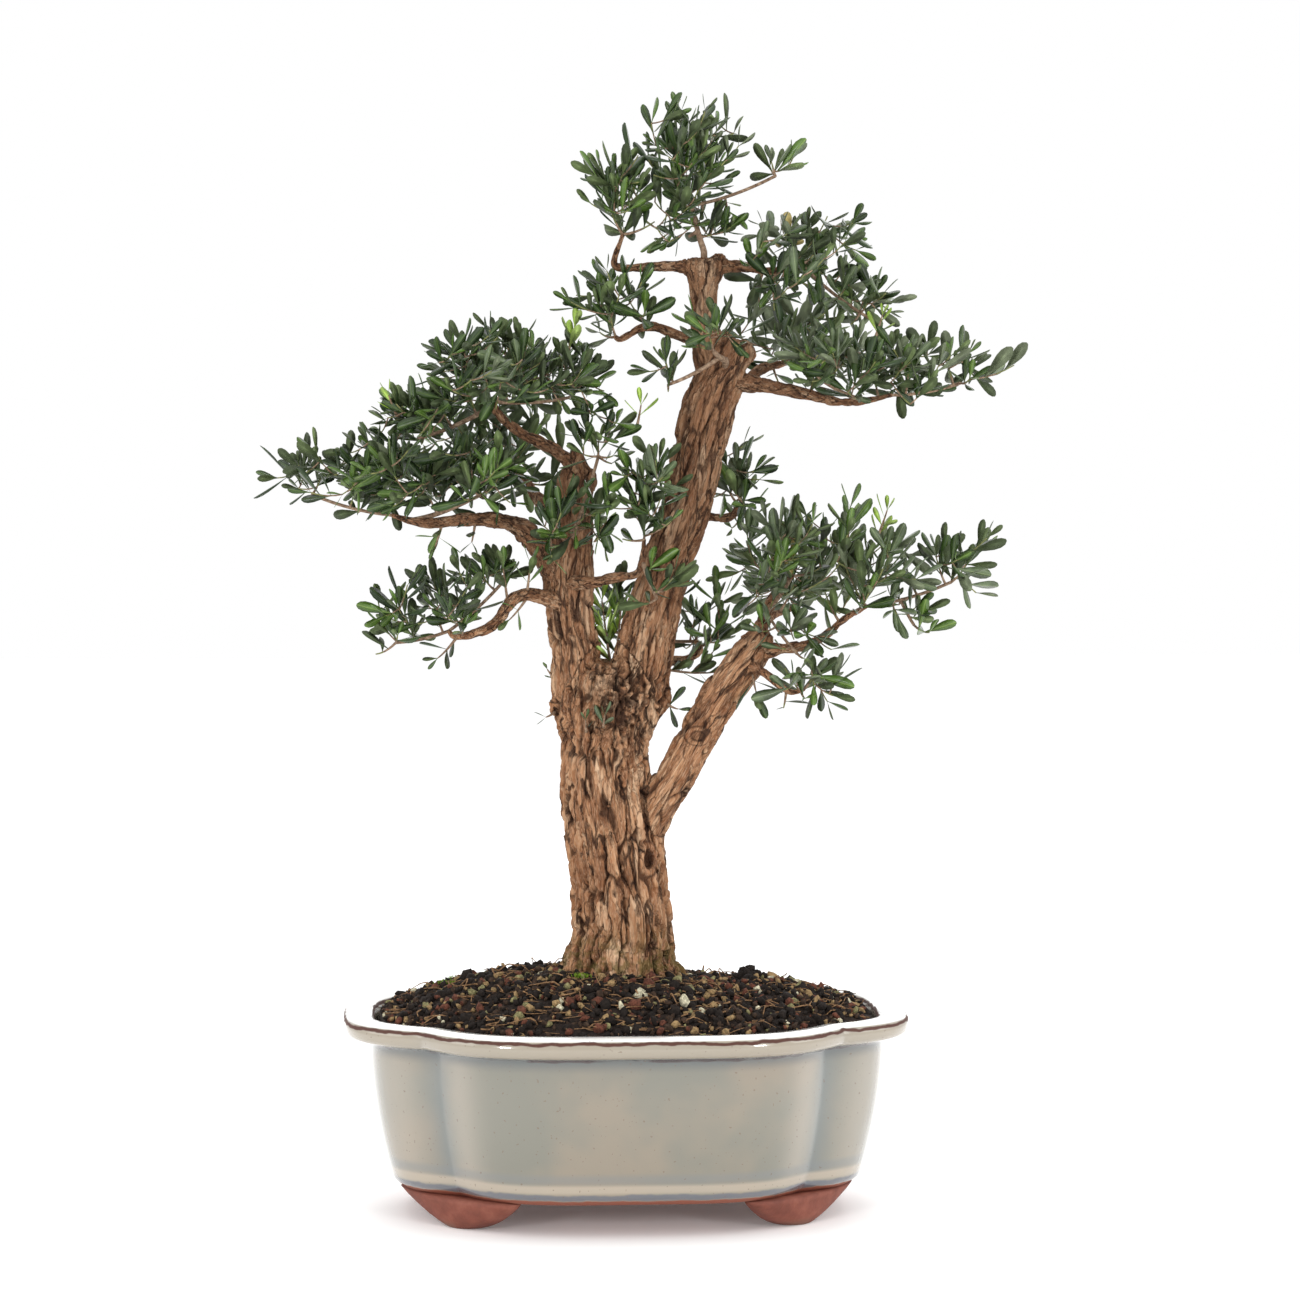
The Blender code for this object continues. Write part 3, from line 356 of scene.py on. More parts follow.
trunk = {
    "course": mm((  # x, y, z, half width, half depth
        (-3.5, 0, 144, 40, 38), (-3.5, 0, 150.3, 37.6, 35), (-3.5, 0, 158, 34, 32.5),
        (-1.8, 0, 175, 31.4, 30.4), (-3, 0, 193, 29.7, 29.2), (-5.3, 0, 214, 28.9, 28.6),
        (-8, 0, 240, 30.3, 28.4), (-11.5, 0, 264, 28.4, 27.6), (-13, 0, 287, 26.8, 26.6),
        (-12, 0, 302, 28.5, 26.4), (-10.5, 0, 318, 35, 26.4), (-9, 0, 331, 35, 24.5),
        (-8, 0, 341, 29, 20), (-8, 0, 346, 18, 13),
    )),
    "step": 0.003,  # between two places of a course
    "sides": 40,
    "limbSides": 24,
    "soilHeight": 0.150,
    "foot": 0.147,  # no bark lies lower
    "ribs": 7,
    "ribHeight": 0.0014,
    "ribTwist": 3.0,
    "fluteDepth": 0.08,
    "fluteHeight": 0.020,
    "voxel": 0.00175,
    "smoothing": 3,
    "blobs": mm((  # burrs and stubs
        ((-6, -18, 322), (14, 11, 16)), ((-20, -16, 330), (10, 9, 12)), ((1, -16, 300), (10, 9, 20)),
        ((-2, -12, 340), (8, 8, 10)), ((18.5, -4, 321), (8, 9, 8)), ((60, -4, 546), (10, 9, 9)),
        ((72, -2, 540), (11, 9, 10)), ((40, 0, 595), (6, 8, 6)), ((59, 0, 597), (7, 8, 6)),
        ((-24, 0, 460), (7, 8, 10)), ((-38, -2, 459), (6, 7, 8)), ((-42, -4, 398), (8, 8, 9)),
        ((84, -13, 360), (10, 10, 8)), ((21.5, -2, 262), (10, 10, 14)),
        ((20.5, -6, 250), (8.5, 10, 14)),
    )),
    "spur": mm((
        (17, -4, 314, 6), (24.5, -4, 322, 4.6), (27.5, -4, 330, 2.2),
    )),
    "strands": mm((  # thick strands of bark that lie on the trunk's front, as x and z
        ((0.6, 344), (-7.6, 318.5), (-3.8, 290.2), (-12, 255.5)),
        ((19.5, 315.4), (10.1, 296.5), (2.5, 271.3), (5, 249.2), (10.1, 224)),
        ((-30.9, 324.8), (-24.6, 296.5), (-27.7, 261.8), (-21.4, 224)),
        ((19.5, 242.9), (15.1, 211.4), (18, 180)),
        ((-15.1, 337.4), (3.8, 318.5), (16.4, 305.9)),
        ((-12, 240), (-7, 205), (-11, 170)),
    )),
    "strandRadius": 0.0037,
    "strandTip": 0.4,
    "strandLift": 0.0010,
    "burrs": 46,
    "burrSizes": (0.0018, 0.0040),
    "burrReach": 0.88,  # burrs keep to this share of the trunk's half width
    "burrLifts": (-0.0010, 0.0016),
    "burrStretch": (0.8, 1.8),
    "burrZone": mm(((-2, -24, 320), (23.5, 6, 26))),
    "burrDepth": 0.0038,
    "burrFade": (1.3, 2.0, 1.5),  # the zone's bark is uneven this much further out
    "knots": mm((  # middle, half width, half height, how high the ring stands, how deep it is inside
        ((44.7, -22.5, 300.9), 6.4, 4.6, 1.6, 1.8), ((13.9, -21.5, 223.5), 4.4, 8.5, 1, 5),
    )),
    "knotDepth": 0.012,
    "knotCalm": 0.75,  # how far a knot smooths the bark on it
}

limbs = mm({
    "left_limb": (
        (-21.5, 0, 300, 15), (-29, 0, 331, 16.2), (-30.5, 0, 352, 15.2), (-33.2, 0, 372, 15.2),
        (-34.8, 0, 392, 15.7), (-34, 0, 412, 14.5), (-32.2, 1, 435, 13), (-31.2, 2, 456, 11.6),
        (-30.8, 2, 469, 8.2), (-30.4, 2, 480, 3.6),
    ),
    "centre_limb": (
        (0, 0, 300, 17), (7.6, 0, 331, 19.3), (12.5, 0, 352, 18.8), (16.5, 0, 372, 17.2),
        (23, 1, 395, 16), (28.5, 2, 414, 15.3), (36.5, 3, 438, 15.7), (43, 3, 462, 16.1),
        (49, 3, 488, 16.3), (54, 3, 508, 16.3), (60.5, 2, 524, 15.5), (66.8, 1, 537, 12.2),
        (70, 0, 547, 7),
    ),
    "right_limb": (
        (6, -5, 229, 10), (19.5, -8, 255, 12), (32, -10, 275, 11.8), (44, -11, 298, 11.9),
        (57, -12, 321, 12.2), (69, -13, 339, 11.9), (79.5, -13, 353, 12), (85, -13, 361, 8.5),
    ),
    "leader": (
        (58, 2, 520, 10), (52, 2, 543, 9.7), (50, 2, 560, 8.8), (49.8, 2, 577, 8.6), (50, 1, 588, 11),
        (50, 0, 595, 13), (50, 0, 600, 10),
    ),
})

boughs = mm({
    "left_main_bough": (
        (-38, 0, 393, 8.5), (-47, -2, 409, 8.6), (-60, -5, 427, 7), (-73, -8, 435, 5.6),
        (-96, -12, 437, 4.3), (-118, -14, 434.5, 3.4),
    ),
    "left_top_bough": (
        (-30, 1, 466, 4.2), (-40, -1, 478, 4.2), (-53, -3, 484.5, 3.7), (-67, -5, 491, 3.3),
        (-80, -6, 502, 2.9),
    ),
    "left_low_bough": (
        (-38, -7, 383, 5.5), (-52, -10, 388, 5), (-65, -12, 391, 4.4), (-74.5, -13, 385, 4),
        (-78.5, -14, 373, 3.4), (-91, -15, 366, 2.8), (-106, -15, 362.5, 2.3),
    ),
    "inner_bough": (
        (-34, -7, 396, 4.4), (-30, -20, 397.5, 4.6), (-18, -24.5, 397, 3.8), (-5, -25.5, 402, 3.1),
        (4, -27, 401, 2.6),
    ),
    "head_left_bough": (
        (44, 0, 594, 3.6), (32, -1, 595, 3.5), (19, -2, 594.5, 3.1), (7, -2, 594, 2.7),
        (-6, -2, 593, 2.3),
    ),
    "head_right_bough": (
        (56, 0, 594, 4), (67, -1, 596, 3.9), (78, -2, 594, 3.3), (87, -2, 592, 2.7),
    ),
    "leader_left_bough": (
        (49, 0, 547.5, 3.4), (39, -2, 549, 3.3), (24, -5, 555.5, 2.9), (13, -7, 559, 2.7),
        (4, -8, 553, 2.4), (-3, -9, 548, 2.1),
    ),
    "upper_right_bough": (
        (64, 0, 524, 6.6), (80, -2, 521.5, 5.8), (95, -4, 519, 4.8), (112, -6, 515.5, 3.8),
        (130, -8, 510.5, 2.9),
    ),
    "centre_right_bough": (
        (37, 4, 437.5, 3.4), (56, 12, 438, 3.2), (66, 18, 435, 2.7), (74, 24, 440, 2.3),
    ),
    "right_low_bough": (
        (80, -14, 353.5, 4.8), (94, -18, 355, 4.1), (106, -19, 356, 3.5), (117, -19, 358, 3),
        (127, -19, 364, 2.6), (134, -19, 372, 2.2),
    ),
    "right_back_bough": (
        (81, -9, 354, 4.6), (87, 1, 369, 4.4), (92, 7, 382, 3.8), (97, 10, 391, 3.1),
    ),
    "right_droop_bough": (
        (76, -18, 345, 3.4), (84, -28, 343, 3.2), (92, -33, 336, 2.7), (99, -35, 329, 2.2),
    ),
    "rear_low_bough": (
        (15, 6, 349, 4), (27, 22, 346, 3.8), (40, 32, 344.5, 3.2), (51, 38, 350, 2.7),
    ),
    "rear_left_bough": (
        (-33, 6, 424, 5), (-40, 23, 434, 5), (-51, 41, 446, 4.2), (-61, 56, 459, 3.3),
    ),
    "rear_right_bough": (
        (57, 9, 510, 5), (68, 28, 516, 4.8), (80, 44, 523, 4), (90, 56, 531, 3.2),
    ),
    "rear_bottom_bough": (
        (70, -7, 337, 4.4), (76, 12, 345, 4.2), (85, 30, 358, 3.6), (95, 45, 371, 2.9),
    ),
})

boughBark = {
    "step": 0.0016,
    "sides": 18,
    "easing": 40,  # rounds of smoothing on the course
    "root": 1.35,  # how much thicker a bough is where it leaves its limb
    "knobSize": 0.009,
    "knobs": 0.24,
    "stretch": 2.2,
    "finer": 1.5,
}

barkRelief = {
    "stretch": 4.4,  # plates are this much longer than wide
    "plate": 0.0070,
    "fine": 0.0027,
    "wander": 0.0034,
    "patch": 0.0060,  # the size of the places where fissures are deep
    "fissureDepth": 0.0034,
    "fineDepth": 0.0007,
    "plateLift": 0.0028,
    "fineLift": 0.0009,
    "plateDome": 0.0006,
    "fibre": 0.00030,
    "fibreSize": 0.0011,
}

barkPaint = {
    "tones": (
        (0.30, (0.114, 0.043, 0.018)),
        (0.42, (0.240, 0.104, 0.047)),
        (0.53, (0.378, 0.190, 0.094)),
        (0.68, (0.580, 0.382, 0.238)),
    ),
    "layers": {  # laid over the tones in this order: how much of each shows, and its colour
        "worn": (0.42, (0.640, 0.448, 0.300)),
        "chip": (0.48, (0.120, 0.052, 0.026)),
        # painted shade: darker where the bark is sunk in fissures, knot hollows and burr pits
        "sunk_shade": (0.78, (0.048, 0.020, 0.011)),
        # painted shade: near black in the bump-only cracks between the plates
        "shaded_crack": (0.86, (0.032, 0.014, 0.009)),
        # painted shade: darker in the hollows of the fork among the burrs
        "burr": (0.80, (0.034, 0.016, 0.010)),
        # painted shade: darker higher up, from the first limbs
        "high": (0.42, (0.075, 0.036, 0.020)),
        "moss": (0.66, (0.095, 0.082, 0.018)),
    },
    "fibre": (0.5, 1900.0, 3.0, 0.6),  # stretch along the grain, scale, detail, roughness
    "streak": (0.4, 520.0, 4.0, 0.65),
    "plateScale": 125.0,
    "chipScale": 340.0,
    "bendScale": 230.0,
    "bend": 0.0078,
    "burrBend": 0.0100,
    "darkHeights": (0.300, 0.430),
    "mossHeights": (0.152, 0.190),
    "roughness": 0.88,
    "boughsFiner": 2.1,
}


def barkHeight(grain, salt):
    # how high the bark stands at places along the grain, and how deep in a fissure
    b = barkRelief
    wander = np.stack([softNoise(grain + 7.1 * k, b["wander"] * 2.2) for k in range(2)], axis=1)
    bent = grain.copy()
    bent[:, :2] += wander * b["wander"]
    border, lift = cellBorders(bent / b["plate"], salt)
    fineBorder, fineLift = cellBorders(bent / b["fine"], salt + 20)
    broken = smoothStep(softNoise(grain, b["patch"]), -0.30, 0.30)
    fissure = (1 - smoothStep(border, 0.02, 0.19)) * (0.25 + 0.75 * broken)
    fineFissure = 1 - smoothStep(fineBorder, 0.0, 0.24)
    fibre = softNoise(grain, b["fibreSize"])
    height = (lift - 0.5) * b["plateLift"] + (fineLift - 0.5) * b["fineLift"] + fibre * b["fibre"]
    height += smoothStep(border, 0.0, 0.5) * b["plateDome"]
    height -= fissure * b["fissureDepth"] + fineFissure * b["fineDepth"]
    depth = np.clip(fissure * 0.8 + 0.25 * fineFissure * broken + (0.5 - lift) * 0.30, 0.0, 1.0)
    return height, depth


def nearestCourse(points, courses):
    # for each point: its place along the nearest limb, seen from the limb's own frame
    best = np.full(len(points), 9.0)
    grain = np.zeros((len(points), 3))
    radius = np.zeros(len(points))
    for number, course in enumerate(courses):
        places = course[:, :3]
        ways, across, up = courseFrames(places)
        run = runAlong(places)
        for index in range(len(places)):
            offset = points - places[index]
            gap = np.linalg.norm(offset, axis=1) / course[index, 3]
            closer = gap < best
            best[closer] = gap[closer]
            radius[closer] = course[index, 3]
            grain[closer, 0] = offset[closer] @ across[index] + number * 0.31
            grain[closer, 1] = offset[closer] @ up[index]
            grain[closer, 2] = (run[index] + (offset @ ways[index])[closer]) / barkRelief["stretch"]
    return grain, radius


def blobShell(middle, half, rings=7, sides=12):
    shell = []
    turn = anglesRound(sides)
    for tilt in np.linspace(-0.95, 0.95, rings) * math.pi / 2:
        flat = math.cos(tilt)
        ring = np.stack([flat * np.cos(turn), flat * np.sin(turn), np.full(sides, math.sin(tilt))], axis=1)
        shell.append(ring * np.array(half) + np.array(middle))
    return ringTube(shell)


def trunkShell():
    # the trunk's own skin, with its ribs
    turn = anglesRound(trunk["sides"])
    rings = []
    for x, y, z, *halves in smoothCourse(trunk["course"], trunk["step"]):
        rise = z - trunk["soilHeight"]
        flute = trunk["fluteDepth"] * math.exp(-max(rise, 0.0) / trunk["fluteHeight"])
        wave = np.cos(trunk["ribs"] * (turn + trunk["ribTwist"] * rise))
        outX, outY = (half * (1 + flute * wave) + trunk["ribHeight"] * wave for half in halves)
        level = np.full(len(turn), z)
        rings.append(np.stack([x + outX * np.cos(turn), y + outY * np.sin(turn), level], axis=1))
    return ringTube(rings)


def trunkAcross(x, z):
    # how far across the trunk a place is, as a share of its half width, and its half depth there
    course = np.array(trunk["course"])
    middle, halfX, halfY = (np.interp(z, course[:, 2], course[:, column]) for column in (0, 3, 4))
    return abs(x - middle) / halfX, halfY


def trunkFront(x, z):
    # the trunk's front skin at a place
    across, halfY = trunkAcross(x, z)
    return -halfY * math.sqrt(1 - min(across, 0.98) ** 2)


def addBurrs(shape):
    # strands of bark round the fork, and the small burrs between them
    rng = random.Random(7)
    for strand in trunk["strands"]:
        radii = [trunk["strandRadius"]] * (len(strand) - 1) + [trunk["strandRadius"] * trunk["strandTip"]]
        lift = trunk["strandLift"]
        stops = [(x, trunkFront(x, z) + lift, z, radius) for (x, z), radius in zip(strand, radii)]
        shape.add(*courseTube(smoothCourse(stops, trunk["step"]), 10))
    middle, half = trunk["burrZone"]
    for _ in range(trunk["burrs"]):
        x = middle[0] + rng.uniform(-1, 1) * half[0]
        z = middle[2] + rng.uniform(-1, 1) * half[2]
        size = rng.uniform(*trunk["burrSizes"])
        if trunkAcross(x, z)[0] > trunk["burrReach"]:
            continue
        place = (x, trunkFront(x, z) + rng.uniform(*trunk["burrLifts"]), z)
        tall = size * rng.uniform(*trunk["burrStretch"])
        shape.add(*blobShell(place, (size, size, tall), 5, 8))


def knotMarks(points):
    # old knots: how they lift the bark, the painted shade in their sunk middles and round their rings, and
    # where they smooth the bark
    lift, knotShade, calm = (np.zeros(len(points)) for _ in range(3))
    for middle, halfX, halfZ, ring, sink in trunk["knots"]:
        reach = np.linalg.norm((points - middle) / (halfX, trunk["knotDepth"], halfZ), axis=1)
        inside = 1 - smoothStep(reach, 0.35, 0.85)
        lift += ring * hump(reach, 1.0, 0.26) - sink * inside
        # painted shade in the creases inside and outside the raised ring, and in the sunk middle
        rings = 0.85 * hump(reach, 0.66, 0.15) + 0.75 * hump(reach, 1.32, 0.17)
        knotShade = np.maximum(knotShade, np.maximum(rings, inside * min(1.0, sink / 0.0040)))
        calm = np.maximum(calm, 1 - smoothStep(reach, 1.0, 1.6))
    return lift, knotShade, calm


def remeshed(shape):
    # one even skin over all the shells of a shape, as points, normals and quads
    mesh = bpy.data.meshes.new("wood")
    faces = [tuple(face) for group in shape.faces() for face in group]
    mesh.from_pydata([tuple(point) for point in shape.allPoints()], [], faces)
    item = linked("wood", mesh)
    changes = (
        ("REMESH", {"mode": "VOXEL", "voxel_size": trunk["voxel"]}),
        ("SMOOTH", {"factor": 0.5, "iterations": trunk["smoothing"]}),
        ("SUBSURF", {"levels": 1, "render_levels": 1}),
    )
    for kind, settings in changes:
        modifier = item.modifiers.new(kind, kind)
        for key, value in settings.items():
            setattr(modifier, key, value)
    graph = bpy.context.evaluated_depsgraph_get()
    done = bpy.data.meshes.new_from_object(item.evaluated_get(graph))
    bpy.data.objects.remove(item)
    points, normals = (np.zeros(len(done.vertices) * 3) for _ in range(2))
    corners = np.zeros(len(done.loops), np.int32)
    done.vertices.foreach_get("co", points)
    done.vertex_normals.foreach_get("vector", normals)
    done.loops.foreach_get("vertex_index", corners)
    return points.reshape(-1, 3), normals.reshape(-1, 3), corners.reshape(-1, 4)


def barkFinish(name, mossy, finer=1.0):
    f = Finish(name)
    b = barkPaint
    place = f.place()
    height = f.axis(place, "Z")
    grain = f.mark("grain", "Vector")
    burr = f.mark("burr")
    looks = (b["fibre"], b["streak"])
    fibre, streak = (f.speckle(f.stretched(grain, along), *look) for along, *look in looks)
    broken = f.speckle(f.stretched(grain, 0.8), 170.0 * finer)
    bend = f.speckle(grain, b["bendScale"] * finer, 5.0, output=1)
    knotted = f.mix(b["bend"] / finer + burr * b["burrBend"], grain, bend)
    plateGap, plateTone = f.cells(knotted, b["plateScale"] * finer)
    chipGap, chipTone = f.cells(knotted, b["chipScale"] * finer)
    # painted shade: cracks between the plates, which have no relief but bump, painted near black
    shaded_crack = (1 - f.step(plateGap, 0.005, 0.080)) * f.step(broken, 0.45, 0.58)
    chip = (1 - f.step(chipGap, 0.0, 0.10)) * f.step(streak, 0.40, 0.60)
    tone = f.speckle(place, 40.0, 3.0) * 0.20 + streak * 0.46 + plateTone * 0.18 + chipTone * 0.16
    masks = {
        "worn": f.step(fibre, 0.42, 0.75),
        "chip": chip,
        # painted shade where the depth mark says the bark is sunk
        "sunk_shade": f.step(f.mark("depth"), 0.20, 0.85),
        "shaded_crack": shaded_crack,
        # painted shade in patches over the fork's burr zone
        "burr": burr * f.step(f.speckle(place, 210.0, 4.0, 0.6), 0.38, 0.56),
        # painted shade: the bark darkens from the first limbs upward
        "high": f.step(height, *b["darkHeights"]),
    }
    if mossy:
        damp = f.step(f.speckle(place, 150.0, 3.0), 0.42, 0.58)
        masks["moss"] = (1 - f.step(height, *b["mossHeights"])) * damp
    relief = fibre * 0.26 + streak * 0.60 - chip * 0.5 - shaded_crack * 1.3 + plateTone * 0.45
    return f.paint({
        "Base Color": f.layered(f.ramp(tone, b["tones"]), masks, b["layers"]),
        "Roughness": b["roughness"],
        "Normal": f.bump(relief, 1.0, 0.0020),
        "Specular IOR Level": 0.20,
    })


def buildTrunk():
    step = trunk["step"]
    shape = Shape(*trunkShell())
    courses = [smoothCourse(course, step) for course in limbs.values()]
    for course in courses:
        shape.add(*courseTube(course, trunk["limbSides"]))
    for middle, half in trunk["blobs"]:
        shape.add(*blobShell(middle, half))
    shape.add(*courseTube(smoothCourse(trunk["spur"], 0.002), 12))
    addBurrs(shape)
    points, normals, quads = remeshed(shape)
    own = smoothCourse([(x, y, z, (a + b) / 2) for x, y, z, a, b in trunk["course"][:-2]], step)
    grain, radius = nearestCourse(points, [own, *courses])
    height, depth = barkHeight(grain, 3)
    lift, knotShade, calm = knotMarks(points)
    rough = 1 - trunk["knotCalm"] * calm
    height = height * np.clip(radius / 0.020, 0.45, 1.1) * rough + lift
    middle, half = (np.array(pair) for pair in trunk["burrZone"])
    uneven = 1.0 + 0.35 * softNoise(points, 0.012)
    away = np.linalg.norm((points - middle) / (half * trunk["burrFade"]), axis=1)
    burr = 1 - smoothStep(away * uneven, 0.2, 1.15)
    pits = smoothStep(softNoise(points, 0.0034), -0.05, 0.35)
    height = height - burr * pits * trunk["burrDepth"]
    # the depth mark also carries the knots' and the burr pits' painted shade into the bark's colour
    depth = np.clip(np.maximum(depth * rough, knotShade) + burr * (0.10 + 0.55 * pits), 0.0, 1.0)
    points = points + normals * height[:, None]
    points[:, 2] = np.maximum(points[:, 2], trunk["foot"])
    marks = {"depth": depth, "grain": grain, "burr": burr}
    finish = barkFinish("bark", True)
    addPiece("bark_trunk_and_limbs", Shape(points, quads), [finish], ("trunk", *limbs), marks=marks)
    print("trunk and limbs:", len(quads) * 2, "triangles")


def buildBoughs():
    b = boughBark
    shape = Shape()
    depths, grains = [], []
    massOf = {carrier: name for name, (carrier, lobes) in masses.items()}
    angles = anglesRound(b["sides"])
    for number, (name, stops) in enumerate(boughs.items()):
        stops = [list(stop) for stop in (*stops, *massStem(massOf[name])[1:])]
        stops[0][3] *= b["root"]
        course = smoothCourse(stops, b["step"])
        for _ in range(b["easing"]):
            course[1:-1, :3] = (course[:-2, :3] + 2 * course[1:-1, :3] + course[2:, :3]) / 4
        radius = course[:, 3:4]
        run = np.broadcast_to(runAlong(course[:, :3])[:, None], (len(course), b["sides"]))
        across = radius * np.cos(angles) + number * 0.13
        grain = np.stack([across, radius * np.sin(angles), run / b["stretch"]], axis=-1).reshape(-1, 3)
        height, depth = barkHeight(grain * b["finer"], 50)
        lift = height.reshape(len(course), -1) * np.clip(radius / 0.017, 0.12, 0.6)
        knobs = softNoise(course[:, :3], b["knobSize"])[:, None] * b["knobs"] * radius
        out = looksOut(course, b["sides"]) * (radius + lift + knobs)[..., None]
        shape.add(*ringTube(course[:, None, :3] + out))
        depths.append(np.concatenate([depth, [0.0, 0.0]]))
        grains.append(np.concatenate([grain, np.zeros((2, 3))]))
    marks = {"depth": np.concatenate(depths), "grain": np.concatenate(grains)}
    finish = barkFinish("bough bark", False, barkPaint["boughsFiner"])
    addPiece("bark_boughs", shape, [finish], tuple(boughs), marks=marks)
    print("boughs:", len(boughs))


# Foliage: the masses' spaces, and the rule that fills them

lobesOf = {  # what carries each mass, and its lobes in mm: middle, half widths, how full each is of shoots
    "apex_mass": ("leader", [
        ((42, 0, 661), (41, 54, 47), 1.45), ((95, 0, 659), (28, 28, 21), 0.8),
        ((40, 0, 624), (44, 40, 30), 1.2),
    ]),
    "apex_left_mass": ("head_left_bough", [((-1, 0, 640), (38, 46, 42), 0.85)]),
    "upper_right_mass": ("head_right_bough", [
        ((111, -2, 594), (48, 64, 44), 1.1), ((154, -4, 572), (30, 42, 27), 0.9),
    ]),
    "right_shelf_mass": ("upper_right_bough", [
        ((168, -8, 529), (44, 64, 33), 0.95), ((122, -18, 535), (37, 56, 32), 1.15),
        ((212, -4, 532), (40, 42, 29), 0.6),
    ]),
    "upper_left_mass": ("leader_left_bough", [((-6, -6, 571), (43, 43, 36), 0.65)]),
    "left_top_mass": ("left_top_bough", [
        ((-83, -4, 526), (49, 74, 41), 1.6), ((-36, -8, 524), (34, 52, 33), 1.45),
        ((-130, -4, 497), (36, 54, 29), 1.45),
    ]),
    "left_outer_mass": ("left_main_bough", [
        ((-146, -8, 462), (46, 70, 38), 1.45), ((-92, -16, 463), (38, 60, 33), 1.6),
        ((-196, -8, 463), (38, 46, 31), 0.6),
    ]),
    "left_front_mass": ("left_limb", [
        ((-32, -46, 434), (38, 34, 36), 1.7), ((-18, -30, 488), (29, 30, 34), 1.55),
    ]),
    "lower_left_mass": ("left_low_bough", [
        ((-111, -10, 385), (44, 56, 35), 0.75), ((-144, -10, 371), (32, 40, 33), 0.7),
        ((-77, -2, 403), (26, 34, 18), 1.4),
    ]),
    "centre_mass": ("inner_bough", [
        ((10, -40, 452), (31, 32, 46), 1.6), ((18, -38, 397), (29, 27, 26), 1.2),
    ]),
    "centre_right_mass": ("centre_right_bough", [((72, 22, 454), (31, 38, 42), 1.1)]),
    "right_inner_mass": ("right_back_bough", [
        ((107, 0, 416), (43, 62, 41), 0.95), ((88, -22, 387), (31, 36, 26), 1.15),
        ((106, -34, 362), (36, 24, 26), 1.45),
    ]),
    "right_outer_mass": ("right_low_bough", [
        ((152, -10, 406), (38, 60, 41), 0.72), ((206, -8, 408), (43, 46, 33), 0.45),
        ((182, -12, 377), (28, 36, 21), 0.75),
    ]),
    "right_droop_mass": ("right_droop_bough", [((110, -38, 334), (38, 32, 28), 1.6)]),
    "rear_low_mass": ("rear_low_bough", [
        ((48, 44, 367), (37, 34, 40), 1), ((-4, 42, 375), (23, 28, 34), 1),
    ]),
    "rear_left_mass": ("rear_left_bough", [((-80, 88, 478), (60, 44, 44), 1)]),
    "rear_right_mass": ("rear_right_bough", [((118, 84, 550), (56, 44, 44), 1)]),
    "rear_bottom_mass": ("rear_bottom_bough", [((118, 78, 396), (52, 42, 38), 1)]),
    "knob_mass": ("centre_limb", [
        ((53, -42, 550), (29, 30, 29), 1.2), ((26, -22, 529), (22, 24, 24), 1.2),
    ]),
}
masses = {
    name: (carrier, [(mm(middle), mm(half), full) for middle, half, full in lobes])
    for name, (carrier, lobes) in lobesOf.items()
}

sprouts = (  # small shoots: foot and tip in mm, share of the usual leaf, and the tint where it is set
    ((-25.5, -25, 304), (-26.2, -31, 312), 0.5, None),
    ((-15, -27, 307), (-14.2, -32.5, 315), 0.5, None), ((-44, -4, 315), (-50, -7, 312), 0.62, None),
    ((-44, -2, 336), (-49, -5, 342), 0.42, None), ((26.5, -6, 320), (33, -9, 317), 0.62, None),
    ((79, -20, 340), (81, -24, 329), 0.95, None), ((20, 4, 343), (61, 13, 339), 0.85, None),
    ((45, 9, 340.5), (56, 4, 352), 0.8, None), ((-8, 6, 342), (-11.5, 2, 365), 0.95, "lime"),
    ((-6, 8, 342), (-2, 4, 380), 0.9, "fresh"), ((-8, 10, 342), (-14, 6, 385), 0.85, "lime"),
    ((158, -12, 424), (164, -18, 442), 0.75, "lime"), ((139, -16, 420), (140, -24, 444), 0.9, "fresh"),
    ((6, -28, 494), (8.5, -32, 508), 0.8, "lime"), ((-142, -18, 500), (-148, -22, 514), 0.65, "lime"),
    ((-36, -20, 542), (-32.5, -24, 556), 0.75, "lime"),
    ((155, -28, 550), (159, -32, 564), 0.65, "lime"), ((-62, -12, 390), (-60, -18, 409), 0.8, "fresh"),
    ((-74, -13, 386), (-77, -19, 406), 0.85, None), ((-61, -12, 389), (-73, -16, 374), 0.8, "fresh"),
    ((-94, -12, 436), (-96.5, -18, 422.5), 0.8, None),
    ((-115, -14, 434), (-119.5, -19, 419.5), 0.75, "fresh"),
    ((-106, -15, 363), (-118, -17, 350), 0.7, None),
)

sideStems = mm({  # stems that grow from the side of a limb: foot and knee
    "left_front_mass": ((-32, -4, 424), (-33, -24, 430)),
    "knob_mass": ((63, -3, 530), (62, -21, 536)),
})

